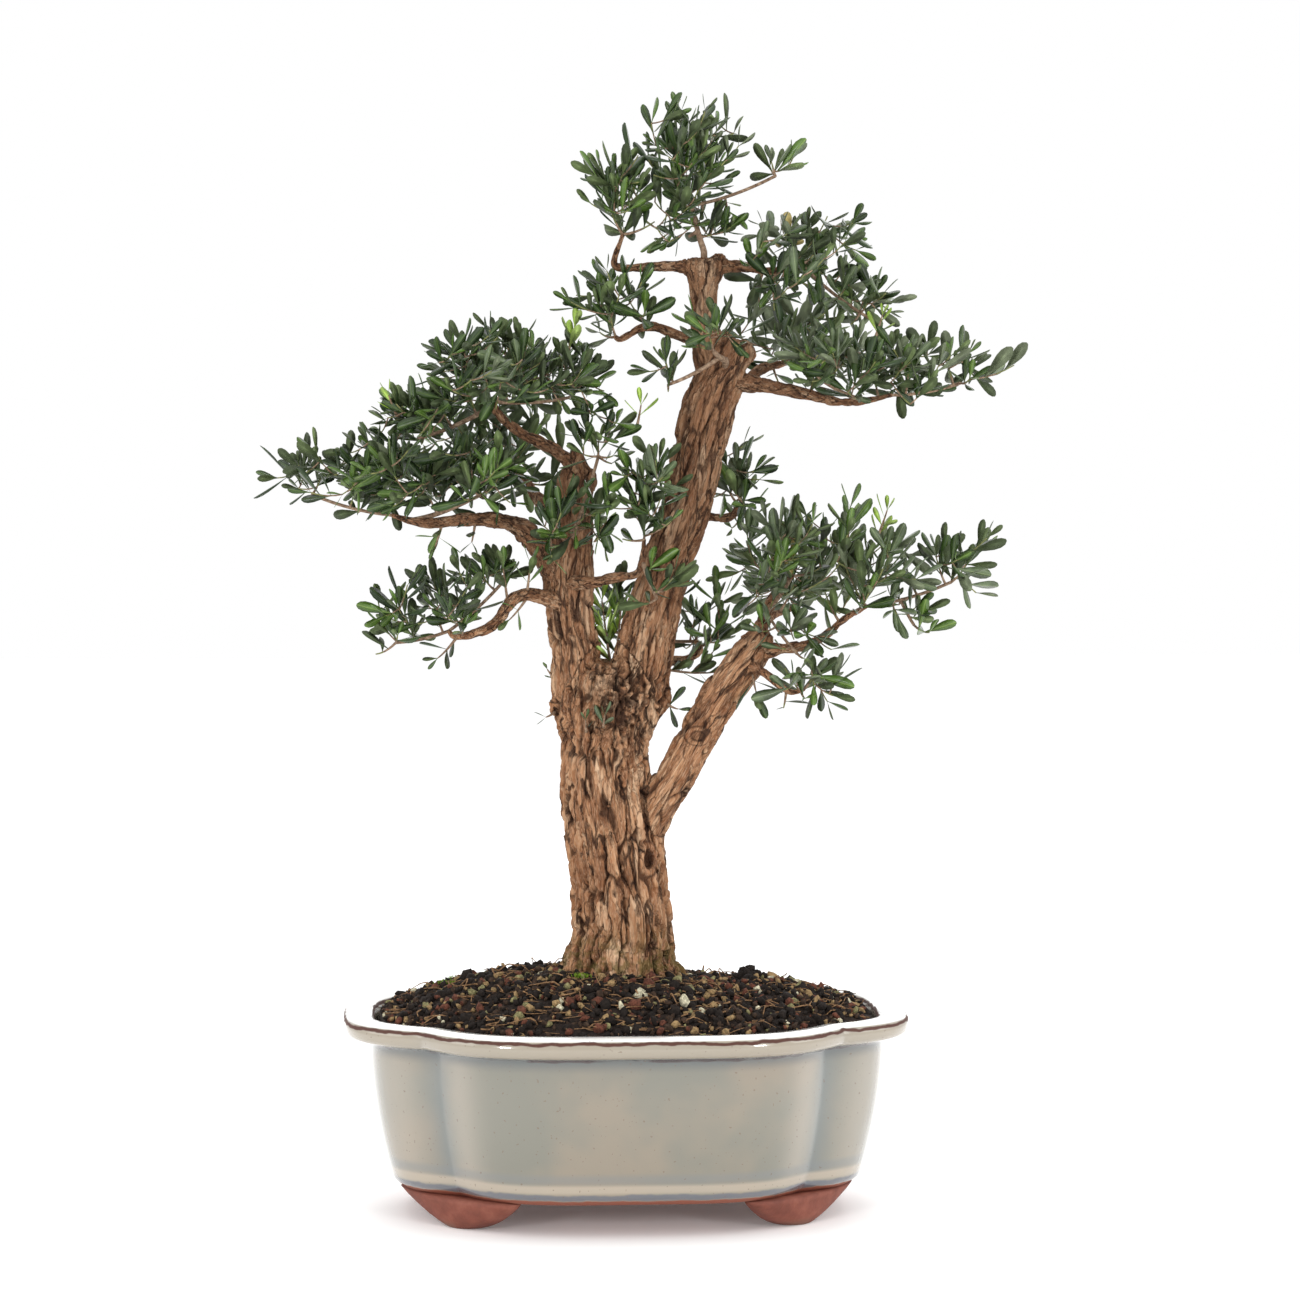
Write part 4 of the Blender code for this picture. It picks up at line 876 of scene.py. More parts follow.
growth = {
    "seed": 3,
    "stemRadius": 0.0022,
    "stemTipRadius": 0.0013,
    "branchRadius": 0.0032,
    "shootRadius": 0.00085,
    "shootTipRadius": 0.00042,
    "thickening": 10.0,  # a shoot is thicker by this times its length in metres
    "sproutThickness": 1.3,
    "sproutSag": 0.10,
    "step": 0.004,  # between two places of a stem
    "childShare": 0.85,  # how thick a shoot may be against what it grows from
    "sag": 0.14,
    "stemSag": 0.08,
    "spacePerShoot": 0.00040,
    "fewest": 6,
    "turn": math.radians(137.508),  # from each shoot to the next
    "reaches": (1.0, 0.62, 0.98, 0.35),  # how far out of the lobe's middle shoots end, in turn
    "stemEndDepth": 0.60,
    "branchEndDepth": 0.35,
    "stemRise": 0.005,
    "undersideShare": 0.84,
    "lowestRise": -0.70,
    "highestRise": 0.96,
    "coreShare": 0.42,  # in a thin lobe shoots still end this far out
    "scatter": 0.16,
    "strays": 0.13,  # the share of shoots that stand out of the mass
    "strayReach": 1.22,
    "strayLowest": -0.2,  # none hangs lower out of its lobe
    "strayOverhang": 0.013,
    "limits": mm(((-234.5, -200, 200), (250.5, 200, 711.5))),  # no leaf passes this box
    "rightShine": 1.9,  # lighter sprays, painted for the light on the right, are this much likelier there
    "rightSheen": 0.80,  # the share of sprays there dealt the painted sheen
    "rightStart": 0.070,
    "shortest": 0.007,
    "leafyRun": 0.036,  # a shoot bears leaves this far down from its tip
    "overhang": 0.0025,  # a leaf may pass its space's skin by this
    "neighbourMargin": -0.004,  # masses may mingle this far
    "limbSpace": 0.0010,
    "twigTones": ((0.30, (0.085, 0.050, 0.032)), (0.5, (0.21, 0.135, 0.085)), (0.7, (0.36, 0.26, 0.18))),
    "shootTones": ((0.30, (0.10, 0.11, 0.035)), (0.5, (0.17, 0.18, 0.06)), (0.7, (0.27, 0.25, 0.11))),
}

leaf = {
    "length": 0.0226,
    "width": 0.0066,
    "reach": 0.60,
    "pitch": math.radians(46),
    "tipPitch": math.radians(26),
    "lift": 0.20,
    "twist": 0.32,
    "missing": 0.10,
    "pairSpacing": 0.0066,
    "leafyShare": 0.92,  # leaves come no nearer to a short shoot's foot
    "runs": (0.7, 1.1),  # how much leafy runs, pitches and the rest vary
    "spacings": (0.75, 1.25),
    "pitches": (0.82, 1.25),
    "leans": (0.85, 1.15),
    "blades": (0.9, 1.1),
    "sizes": (0.66, 1.20),
    "tipSize": 0.72,
    "outline": (  # share of the length, share of the half width
        (0.00, 0.14), (0.16, 0.24), (0.38, 0.66), (0.60, 0.96), (0.78, 1.00), (0.92, 0.74), (1.00, 0.24),
    ),
    "ribShare": 0.085,
    "fold": 0.26,  # how far the edges lie under the rib
    "bends": (-0.05, 0.04, 0.11),
    "perPiece": 4000,
    "finishes": {"leaf": (0.28, 0.42), "rib": (0.45, 0.30), "underside": (0.55, 0.25)},  # roughness, gloss
}

leafTints = {  # what each kind of spray is dealt: share of sprays, blade, rib, underside
    "deep": (0.56, (0.018, 0.036, 0.010), (0.050, 0.080, 0.023), (0.060, 0.082, 0.036)),
    "green": (0.315, (0.031, 0.060, 0.013), (0.078, 0.120, 0.032), (0.085, 0.116, 0.046)),
    "fresh": (0.105, (0.064, 0.122, 0.019), (0.135, 0.198, 0.050), (0.125, 0.172, 0.064)),
    # painted sheen: pale greyish sprays that stand in for the glare on the right's leaves
    "pale": (0.04, (0.074, 0.104, 0.048), (0.135, 0.170, 0.084), (0.150, 0.180, 0.105)),
    "lime": (0.002, (0.240, 0.370, 0.050), (0.320, 0.440, 0.100), (0.270, 0.370, 0.100)),
    "straw": (0.004, (0.360, 0.270, 0.055), (0.420, 0.330, 0.100), (0.360, 0.290, 0.100)),
}


def inLobes(point, lobes):
    # how far a point is out of the nearest of some lobes, and less than 0 inside one
    best = 9.0
    for middle, half, full in lobes:
        reach = math.sqrt(sum(((point[k] - middle[k]) / half[k]) ** 2 for k in range(3)))
        best = min(best, (reach - 1.0) * min(half))
    return best


def inOwnSpace(point, name, overhang):
    depth = inLobes(point, masses[name][1])
    low, high = growth["limits"]
    if depth > overhang or any(point[k] < low[k] or point[k] > high[k] for k in range(3)):
        return False
    margin = depth + growth["neighbourMargin"]
    return all(other == name or inLobes(point, lobes) >= margin for other, (_, lobes) in masses.items())


def lobeArea(half):
    power = 1.6075
    a, b, c = (value ** power for value in half)
    return 4 * math.pi * ((a * b + a * c + b * c) / 3) ** (1 / power)


def lobeTargets(lobe, rng):
    # where the shoots of one lobe end: spread round it, a leaf short of its skin
    g = growth
    middle, half, full = lobe
    woodHalf = [max(value - leaf["reach"] * leaf["length"], g["coreShare"] * value) for value in half]
    count = max(g["fewest"], round(full * lobeArea(woodHalf) / g["spacePerShoot"]))
    turnStart = rng.uniform(0.0, 2 * math.pi)
    targets = []
    for index in range(count):
        rise = g["lowestRise"] + (g["highestRise"] - g["lowestRise"]) * (index + 0.5) / count
        flat = math.sqrt(max(0.0, 1.0 - rise * rise))
        turn = turnStart + g["turn"] * index
        reach = g["reaches"][index % len(g["reaches"])] * rng.uniform(1 - g["scatter"], 1 + g["scatter"])
        depth = woodHalf[2] if rise > 0 else g["undersideShare"] * half[2]
        offset = (woodHalf[0] * flat * math.cos(turn), woodHalf[1] * flat * math.sin(turn), depth * rise)
        overhang = g["overhang"]
        if rng.random() < g["strays"] and index % 2 == 0 and rise > g["strayLowest"]:
            reach *= g["strayReach"]
            overhang = g["strayOverhang"]
        targets.append((np.array([middle[k] + offset[k] * reach for k in range(3)]), overhang))
    return targets


def arcStops(start, end, startRadius, endRadius, sag, steps):
    # a shoot that runs out level and turns up towards its tip
    start, end = np.array(start[:3]), np.array(end[:3])
    bend = (start + end) / 2 - np.array([0, 0, sag * np.linalg.norm(end - start)])
    stops = []
    for share in np.arange(steps + 1) / steps:
        place = start * (1 - share) ** 2 + bend * 2 * share * (1 - share) + end * share ** 2
        stops.append((*place, startRadius + (endRadius - startRadius) * share))
    return stops


def massStem(name):
    carrier, lobes = masses[name]
    middle, half, full = lobes[0]
    goal = np.array(middle) - np.array([0, 0, growth["stemEndDepth"] * half[2]])
    radius = growth["stemRadius"]
    if name in sideStems:
        foot, knee = (np.array(place) for place in sideStems[name])
    else:
        course = np.array(boughs.get(carrier) or limbs[carrier])
        way = unit(course[-1, :3] - course[-2, :3])
        if carrier in boughs:
            radius = course[-1, 3]
        foot = course[-1, :3] - way * 0.001
        knee = foot + way * max(2.0 * radius, 0.005)
    goal[2] = max(goal[2], knee[2] + growth["stemRise"])
    stops = [(*foot, radius), (*knee, radius * 0.95)]
    return stops + arcStops(knee, goal, radius * 0.95, growth["stemTipRadius"], growth["stemSag"], 4)[1:]


def sideBranches(name, stem):
    branches = []
    wood = list(stem)
    for middle, half, full in masses[name][1][1:]:
        goal = np.array(middle) - np.array([0, 0, growth["branchEndDepth"] * half[2]])
        nearest = min(wood[3:], key=lambda stop: np.linalg.norm(np.array(stop[:3]) - goal))
        radius = min(nearest[3] * growth["childShare"], growth["branchRadius"])
        tipRadius = growth["stemTipRadius"] * 0.8
        branches.append(arcStops(nearest, goal, radius, tipRadius, growth["stemSag"], 5))
        wood += branches[-1][1:]
    return branches


def courseSamples(stops):
    samples = []
    for first, second in zip(stops, stops[1:]):
        first, second = np.array(first), np.array(second)
        count = max(1, round(np.linalg.norm(second[:3] - first[:3]) / growth["step"]))
        samples += [tuple(first + (second - first) * share) for share in np.arange(count) / count]
    return samples + [tuple(stops[-1])]


def pointBefore(places, lengths, back):
    # the place on a run of points that lies a distance back from its tip
    for index in range(len(lengths) - 1, -1, -1):
        if back <= lengths[index]:
            return places[index + 1] + (places[index] - places[index + 1]) * (back / lengths[index])
        back -= lengths[index]
    return places[0]


def leafTemplate(bend):
    # a blade folded along its raised rib, closed by a paler underside
    points, quads, kinds = [], [], []
    for along, wide in leaf["outline"]:
        half = wide / 2
        rib = min(half * 0.5, leaf["ribShare"] / 2)
        high = bend * along ** 2
        low = high - leaf["fold"] * half
        points += [(-half, along, low), (-rib, along, high), (rib, along, high), (half, along, low)]
    for row in range(len(leaf["outline"]) - 1):
        a, b = row * 4, row * 4 + 4
        quads += [(a, a + 1, b + 1, b), (a + 1, a + 2, b + 2, b + 1)]
        quads += [(a + 2, a + 3, b + 3, b + 2), (a + 3, a, b, b + 3)]
        kinds += [0, 1, 0, 2]
    return np.array(points), np.array(quads), np.array(kinds)


class Foliage:
    # all the twigs and leaves, sorted by what they are made of

    def __init__(self):
        self.templates = [leafTemplate(bend) for bend in leaf["bends"]]
        self.leaves = {tint: [] for tint in leafTints}
        self.twigs = Shape()
        self.shoots = Shape()
        stem = [(x, y, z, max(a, b)) for x, y, z, a, b in trunk["course"]]
        courses = [stem, *limbs.values(), *boughs.values()]
        self.wood = np.concatenate([smoothCourse(course, growth["step"]) for course in courses])

    def clearOfWood(self, points):
        # whether no limb is too near to some points
        for point in points:
            gaps = np.linalg.norm(self.wood[:, :3] - np.array(point[:3]), axis=1) - self.wood[:, 3]
            if gaps.min() < growth["limbSpace"]:
                return False
        return True

    def addLeaf(self, rng, name, overhang, tint, place, way, out, pitch, size):
        axis = unit(way * math.cos(pitch) + out * math.sin(pitch) + np.array([0, 0, leaf["lift"]]))
        above = way - axis * way.dot(axis)
        if np.linalg.norm(above) < 0.05:
            above = np.cross(axis, (0.3, 0.8, 0.1))
        above = unit(above)
        above, wide = turned(above, np.cross(axis, above), rng.gauss(0.0, leaf["twist"]))
        spine = axis * leaf["length"] * size
        probes = (place + spine, place + spine * 0.6)
        if name:
            inside = all(inOwnSpace(probe, name, overhang) for probe in probes)
            if not inside or not self.clearOfWood(probes):
                return
        self.leaves[tint].append((rng.randrange(len(self.templates)), place, wide, axis, above, size))

    def addShoot(self, rng, name, stops, overhang=0.0, share=1.0, tint=None):
        places = np.array(stops)[:, :3]
        length = np.linalg.norm(np.diff(places, axis=0), axis=1)
        way = unit(places[-1] - places[-2])
        side = np.cross(way, (0, 0, 1))
        if np.linalg.norm(side) < 0.1:
            side = np.cross(way, (1, 0, 0))
        side = unit(side)
        side, across = turned(side, np.cross(way, side), rng.uniform(0, math.pi))
        chances = {kind: values[0] for kind, values in leafTints.items()}
        # painted light: sprays on the right are dealt lighter tints and the painted sheen more often
        if places[-1][0] > growth["rightStart"]:
            chances["green"] *= growth["rightShine"]
            chances["fresh"] *= growth["rightShine"]
            chances["pale"] = growth["rightSheen"]
        tint = tint or rng.choices(list(chances), list(chances.values()))[0]
        tipTint = {"deep": "green", "green": "fresh"}.get(tint, tint)
        run = growth["leafyRun"] * rng.uniform(*leaf["runs"])
        leafy = min(length.sum() * leaf["leafyShare"], leaf["pairSpacing"] + run)
        back = 0.0
        pair = 0
        while back < leafy:
            place = pointBefore(places, length, back)
            pitch = leaf["tipPitch"] if pair == 0 else leaf["pitch"] * rng.uniform(*leaf["pitches"])
            size = rng.uniform(*leaf["sizes"]) * (leaf["tipSize"] if pair == 0 else 1.0) * share
            for sign in (1, -1):
                if pair and rng.random() < leaf["missing"]:
                    continue
                lean = pitch * rng.uniform(*leaf["leans"])
                blade = size * rng.uniform(*leaf["blades"])
                kind = tipTint if pair == 0 else tint
                self.addLeaf(rng, name, overhang, kind, place, way, side * sign, lean, blade)
            side, across = across, -side
            back += leaf["pairSpacing"] * rng.uniform(*leaf["spacings"])
            pair += 1

    def grow(self, name, rng):
        carrier, lobes = masses[name]
        stem = massStem(name)
        samples = courseSamples(stem)[3:]
        if carrier in boughs:
            samples += courseSamples(boughs[carrier][len(boughs[carrier]) // 2:])
        else:
            self.twigs.add(*courseTube(smoothCourse(stem, growth["step"]), 8))
        for branch in sideBranches(name, stem):
            self.twigs.add(*courseTube(smoothCourse(branch, growth["step"]), 7))
            samples += courseSamples(branch)
        foot = np.array(stem[0][:3])
        targets = [target for lobe in lobes for target in lobeTargets(lobe, rng)]
        targets.sort(key=lambda target: np.linalg.norm(target[0] - foot))
        for target, overhang in targets:
            known = np.array(samples)
            gaps = np.linalg.norm(known[:, :3] - target, axis=1)
            nearest, gap = known[gaps.argmin()], gaps.min()
            if gap < growth["shortest"]:
                continue
            tipRadius = growth["shootTipRadius"]
            thick = growth["shootRadius"] * (1.0 + growth["thickening"] * gap)
            radius = min(nearest[3] * growth["childShare"], thick)
            stops = arcStops(nearest, target, max(radius, tipRadius * 1.2), tipRadius, growth["sag"], 5)
            if not self.clearOfWood(stops[2:]):
                continue
            self.twigs.add(*courseTube(stops[:4], 5))
            self.shoots.add(*courseTube(stops[3:], 5))
            samples += courseSamples(stops)[1:]
            self.addShoot(rng, name, stops, overhang)

    def addSprouts(self, rng):
        radius = growth["shootRadius"] * growth["sproutThickness"]
        for foot, tip, share, tint in sprouts:
            foot, tip = mm(foot), mm(tip)
            stops = arcStops(foot, tip, radius, growth["shootTipRadius"], growth["sproutSag"], 5)
            self.twigs.add(*courseTube(stops, 5))
            self.addShoot(rng, None, stops, share=share, tint=tint)


def shaded(colour, amount):
    return [min(1.0, part * amount) for part in colour]


def leafFinish(name, colour, roughness, gloss):
    f = Finish(name)
    cloud = f.speckle(f.place(), 95.0)
    shade = f.mix(f.step(cloud, 0.30, 0.70), shaded(colour, 0.72), shaded(colour, 1.32))
    dull = f.step(cloud, 0.2, 0.8) * 0.14 + (roughness - 0.07)
    return f.paint({"Base Color": shade, "Roughness": dull, "Specular IOR Level": gloss})


def buildLeaves(foliage):
    replaced = tuple(leafNodes)
    size = np.array([leaf["width"], leaf["length"], leaf["width"]])
    for tint, (share, *colours) in leafTints.items():
        parts = zip(leaf["finishes"].items(), colours)
        materials = [leafFinish(f"{tint} {part}", colour, *looks) for (part, looks), colour in parts]
        rows = foliage.leaves[tint]
        for first in range(0, len(rows), leaf["perPiece"]):
            shape = Shape()
            kinds = []
            for template, place, wide, axis, above, scale in rows[first:first + leaf["perPiece"]]:
                blade, quads, faceKinds = foliage.templates[template]
                blade = blade * size * scale
                shape.add(place + blade[:, :1] * wide + blade[:, 1:2] * axis + blade[:, 2:] * above, quads)
                kinds.append(faceKinds)
            name = f"leaves_{tint}_{first // leaf['perPiece'] + 1}"
            addPiece(name, shape, materials, replaced, kinds=np.concatenate(kinds))
            replaced = ()
            print(f"{tint} leaves:", len(kinds), "with", 2 * sum(len(part) for part in kinds), "triangles")


def twigFinish(name, tones, scale):
    f = Finish(name)
    mottled = f.speckle(f.place(), scale, 4.0, 0.6)
    return f.paint({
        "Base Color": f.ramp(mottled, tones),
        "Roughness": 0.8,
        "Normal": f.bump(mottled, 0.6, 0.0004),
        "Specular IOR Level": 0.3,
    })


def buildFoliage():
    foliage = Foliage()
    for index, name in enumerate(masses):
        foliage.grow(name, random.Random(growth["seed"] + index))
    foliage.addSprouts(random.Random(growth["seed"]))
    buildLeaves(foliage)
    twigBark = twigFinish("twig bark", growth["twigTones"], 420.0)
    addPiece("twigs", foliage.twigs, [twigBark])
    youngShoot = twigFinish("young shoot", growth["shootTones"], 300.0)
    addPiece("young_shoots", foliage.shoots, [youngShoot])
    print("leaves in all:", sum(len(rows) for rows in foliage.leaves.values()))


# The pot

pot = {
    "length": 0.356,
    "depth": 0.282,
    "height": 0.1280,
    "foot": 0.0200,
    "rimBand": 0.015,
    "overhang": 0.016,
    "wall": 0.0068,
    "floor": 0.009,
    "taper": 0.016,
    "curve": 1.8,
    "grooveAlong": 0.73,
    "grooveAcross": 0.66,
    "lobePower": 4.5,
    "grid": (72, 48, 9),  # points along a front and along a side, and rounds of smoothing
    "footProfile": mm(((0, 20), (0, 7.5), (0.8, 4.5), (2.5, 1.8))),  # height over the foot, inset
    "rimProfile": mm((  # height over the neck, inset from the rim
        (-0.8, 15.2), (0, 13.5), (0.8, 9.5), (1.8, 5), (3.2, 1.8), (5.2, 0.4), (7.8, 0), (10.4, 0.3),
        (12.2, 1.2), (13.6, 2.6), (14.5, 4.6), (15, 7.8), (14.9, 12.5), (14.4, 16), (13.2, 18.2),
        (11.2, 19.6), (8, 20.6), (0, 22.8),
    )),
    "wobble": 0.0004,
    "bodyTones": ((0.226, 0.190, 0.140), (0.170, 0.165, 0.131)),
    "bands": {  # what each counts from, its low and high edge, how soft they are
        "low band": ("foot", 0.0085, 0.0140, 0.0016),
        "pool": ("foot", 0.0150, 0.0205, 0.0022),
        "iron": ("top", -0.0044, -0.0024, 0.0004),
        "line": ("neck", -0.0016, 0.0008, 0.0004),
        "slate": ("foot", 0.0042, 0.0078, 0.0008),
    },
    "edges": {  # what each counts from, where it starts and where it is full
        # painted shade under the rim, bluer as glaze pooled there
        "under rim": ("neck", -0.0095, -0.0010),
        "over neck": ("neck", 0.0004, 0.0020),
        "rim": ("neck", 0.0008, 0.0026),
        "white": ("top", -0.0024, -0.0016),
        "clay": ("foot", 0.0032, 0.0042),
    },
    "wavy": ("iron", "line", "slate", "clay"),
    "shades": {"groove": (0.0, 5.0), "ridge": (10.0, 4.0)},  # painted shade in a groove and painted highlight on the ridge beside it: steps from a groove, width
    "wallRings": (0.08, 0.97, 16),
    "lipDepth": 0.012,
    "floorStep": 0.008,
    "layers": {  # laid over the body in this order: how much of each shows, and its colour
        # painted shade down the grooves, blue-grey as glaze pooled there
        "groove": (0.70, (0.140, 0.160, 0.160)),
        # painted highlight on the lobes' edges beside the grooves
        "ridge": (0.50, (0.350, 0.304, 0.244)),
        # painted shade under the rim, bluer as glaze pooled there
        "under rim": (0.80, (0.082, 0.094, 0.100)),
        "low band": (0.80, (0.385, 0.325, 0.250)),
        "pool": (0.45, (0.150, 0.165, 0.170)),
        "rim": (0.85, (0.300, 0.258, 0.196)),
        "white": (1.0, (0.780, 0.780, 0.760)),
        "iron": (0.97, (0.060, 0.015, 0.008)),
        "line": (0.92, (0.040, 0.020, 0.020)),
        "slate": (0.88, (0.098, 0.106, 0.130)),
        "spots": (0.50, (0.120, 0.065, 0.035)),
        "clay": (1.0, (0.230, 0.066, 0.036)),
    },
}


def lobedOutline(inset, height, share=1.0, grid=pot["grid"]):
    # anticlockwise from the right front groove, with the grooves' bottoms rounded
    frontSteps, sideSteps, rounding = grid
    halfLength = (pot["length"] / 2 - inset) * share
    halfDepth = (pot["depth"] / 2 - inset) * share
    grooveX, grooveY = pot["grooveAlong"] * halfLength, pot["grooveAcross"] * halfDepth
    runs = (2 * np.arange(steps) / steps - 1 for steps in (sideSteps, frontSteps))
    side, front = (np.sin(np.pi / 2 * run) for run in runs)
    bulgeX, bulgeY = (1 - abs(run) ** pot["lobePower"] for run in (side, front))
    right = np.stack([grooveX + (halfLength - grooveX) * bulgeX, grooveY * side], axis=1)
    back = np.stack([-grooveX * front, grooveY + (halfDepth - grooveY) * bulgeY], axis=1)
    half = np.concatenate([right, back])
    outline = np.concatenate([half, -half])
    for _ in range(rounding):
        outline = (np.roll(outline, 1, axis=0) + 2 * outline + np.roll(outline, -1, axis=0)) / 4
    return np.concatenate([outline, np.full((len(outline), 1), height)], axis=1)


def bodyInset(height):
    top = pot["height"] - pot["rimBand"]
    share = (top - height) / (top - pot["foot"])
    return pot["overhang"] + pot["taper"] * max(share, 0.0) ** pot["curve"]


def glazeFinish():
    f = Finish("celadon glaze")
    place = f.place()
    height = f.axis(place, "Z")
    wavy = height + (f.speckle(place, 90.0) * 0.0030 - 0.0015)
    top, foot = pot["height"], pot["foot"]
    neck = top - pot["rimBand"]
    patchy = f.step(f.speckle(place, 22.0), 0.38, 0.46)
    levels = {"foot": foot, "neck": neck, "top": top}
    masks = {
        # painted shade in the grooves and painted highlight on the ridges beside them
        "groove": f.mark("groove"),
        "ridge": f.mark("ridge"),
        "spots": f.step(f.speckle(place, 620.0, 0.0), 0.78, 0.82),
    }
    for name, (level, low, high) in pot["edges"].items():
        run = wavy if name in pot["wavy"] else height
        masks[name] = f.step(run, levels[level] + low, levels[level] + high)
    for name, (level, low, high, soft) in pot["bands"].items():
        run = wavy if name in pot["wavy"] else height
        masks[name] = f.band(run, levels[level] + low, levels[level] + high, soft)
    masks["line"] = masks["line"] * patchy
    masks["clay"] = 1 - masks["clay"]
    # the painted shade under the rim stops where the rim begins
    masks["under rim"] = masks["under rim"] * (1 - masks["over neck"])
    clay, iron = masks["clay"], masks["iron"]
    body = f.mix(f.step(f.speckle(place, 14.0, 3.0, 0.55), 0.38, 0.64), *pot["bodyTones"])
    uneven = f.speckle(place, 60.0) * 0.6 + clay * f.speckle(place, 900.0)
    return f.paint({
        "Base Color": f.layered(body, masks, pot["layers"]),
        "Roughness": 0.16 + clay * 0.6 + iron * 0.70,
        "Normal": f.bump(uneven, 0.10, 0.002),
        "Coat Weight": 1 - clay - iron * 0.9,
        "Coat Roughness": 0.05,
    })


def wallAt(height, step=0.0):
    return height, bodyInset(height) + step


def buildPot():
    foot, wall = pot["foot"], pot["wall"]
    neck = pot["height"] - pot["rimBand"]
    levels = [(foot + rise, bodyInset(foot) + step) for rise, step in pot["footProfile"]]
    levels += [wallAt(foot + 0.005, 0.0002)]
    levels += [wallAt(height) for height in foot + (neck - foot) * np.linspace(*pot["wallRings"])]
    levels += [(neck + rise, inset) for rise, inset in pot["rimProfile"]]
    levels += [wallAt(height, wall) for height in (neck - pot["lipDepth"], (foot + neck) / 2)]
    levels += [wallAt(foot + pot["floor"], wall + pot["floorStep"])]
    rings = [lobedOutline(inset, height) for height, inset in levels]
    points, quads, tris = ringTube(rings)
    frontSteps, sideSteps, _ = pot["grid"]
    total = 2 * (frontSteps + sideSteps)
    grooves = (0, sideSteps, total // 2, total // 2 + sideSteps)
    index = np.arange(total)
    gaps = [abs(index - groove) for groove in grooves]
    away = np.min([np.minimum(gap, total - gap) for gap in gaps], axis=0)
    # marks for the grooves' painted shade and the ridges' painted highlight
    shades = {key: hump(away, *place) for key, place in pot["shades"].items()}
    marks = {key: np.concatenate([np.tile(shade, len(rings)), [0.0, 0.0]]) for key, shade in shades.items()}
    outward = points * np.array([1, 1, 0])
    outward /= np.maximum(np.linalg.norm(outward, axis=1), 1e-6)[:, None]
    points = points + outward * (pot["wobble"] * softNoise(points, 0.05))[:, None]
    addPiece("glazed_pot", Shape(points, quads, tris), [glazeFinish()], ("pot",), marks=marks)
    print("pot:", len(quads), "faces")


feet = {
    "halfLength": 0.052,
    "halfWidth": 0.0165,
    "place": (0.1010, 0.0580),
    "lean": 0.0040,  # how much further out the top stands
    "turn": math.radians(47.0),
    "sides": 40,
    "profile": (  # share of the height, share of the length
        (0.0, 0.20), (0.015, 0.255), (0.06, 0.325), (0.14, 0.42), (0.30, 0.57), (0.45, 0.68), (0.60, 0.78),
        (0.80, 0.90), (0.985, 0.985),
    ),
    "tones": ((0.28, (0.114, 0.027, 0.015)), (0.50, (0.190, 0.050, 0.029)), (0.72, (0.262, 0.086, 0.053))),
    "dirt": (0.120, 0.080, 0.055),
}


def clayFinish():
    f = Finish("bare clay")
    place = f.place()
    cloud = f.speckle(place, 60.0, 4.0, 0.6)
    dirt = (1 - f.step(f.axis(place, "Z"), 0.001, 0.006)) * f.step(cloud, 0.4, 0.6)
    return f.paint({
        "Base Color": f.mix(dirt * 0.5, f.ramp(cloud, feet["tones"]), feet["dirt"]),
        "Roughness": 0.72,
        "Normal": f.bump(f.speckle(place, 700.0, 3.0) + cloud, 0.35, 0.0006),
    })


def buildFeet():
    material = clayFinish()
    sides = feet["sides"]
    angles = (np.arange(sides) + 0.5) * 2 * math.pi / sides
    placeX, placeY = feet["place"]
    corners = itertools.product((("left", -1), ("right", 1)), (("front", -1), ("back", 1)))
    for (sideName, side), (endName, end) in corners:
        turn = -side * end * feet["turn"]
        rings = []
        for heightShare, sizeShare in feet["profile"]:
            x = feet["halfLength"] * sizeShare * np.cos(angles)
            y = feet["halfWidth"] * sizeShare ** 0.25 * np.sin(angles)
            rings.append(np.stack([
                side * (placeX + feet["lean"] * heightShare) + x * math.cos(turn) - y * math.sin(turn),
                end * placeY + x * math.sin(turn) + y * math.cos(turn),
                np.full(sides, (pot["foot"] + 0.0002) * heightShare),
            ], axis=1))
        name = f"foot_{endName}_{sideName}"
        addPiece(f"clay_{name}", Shape(*ringTube(rings)), [material], (name,))
    print("feet: 4")


# The soil

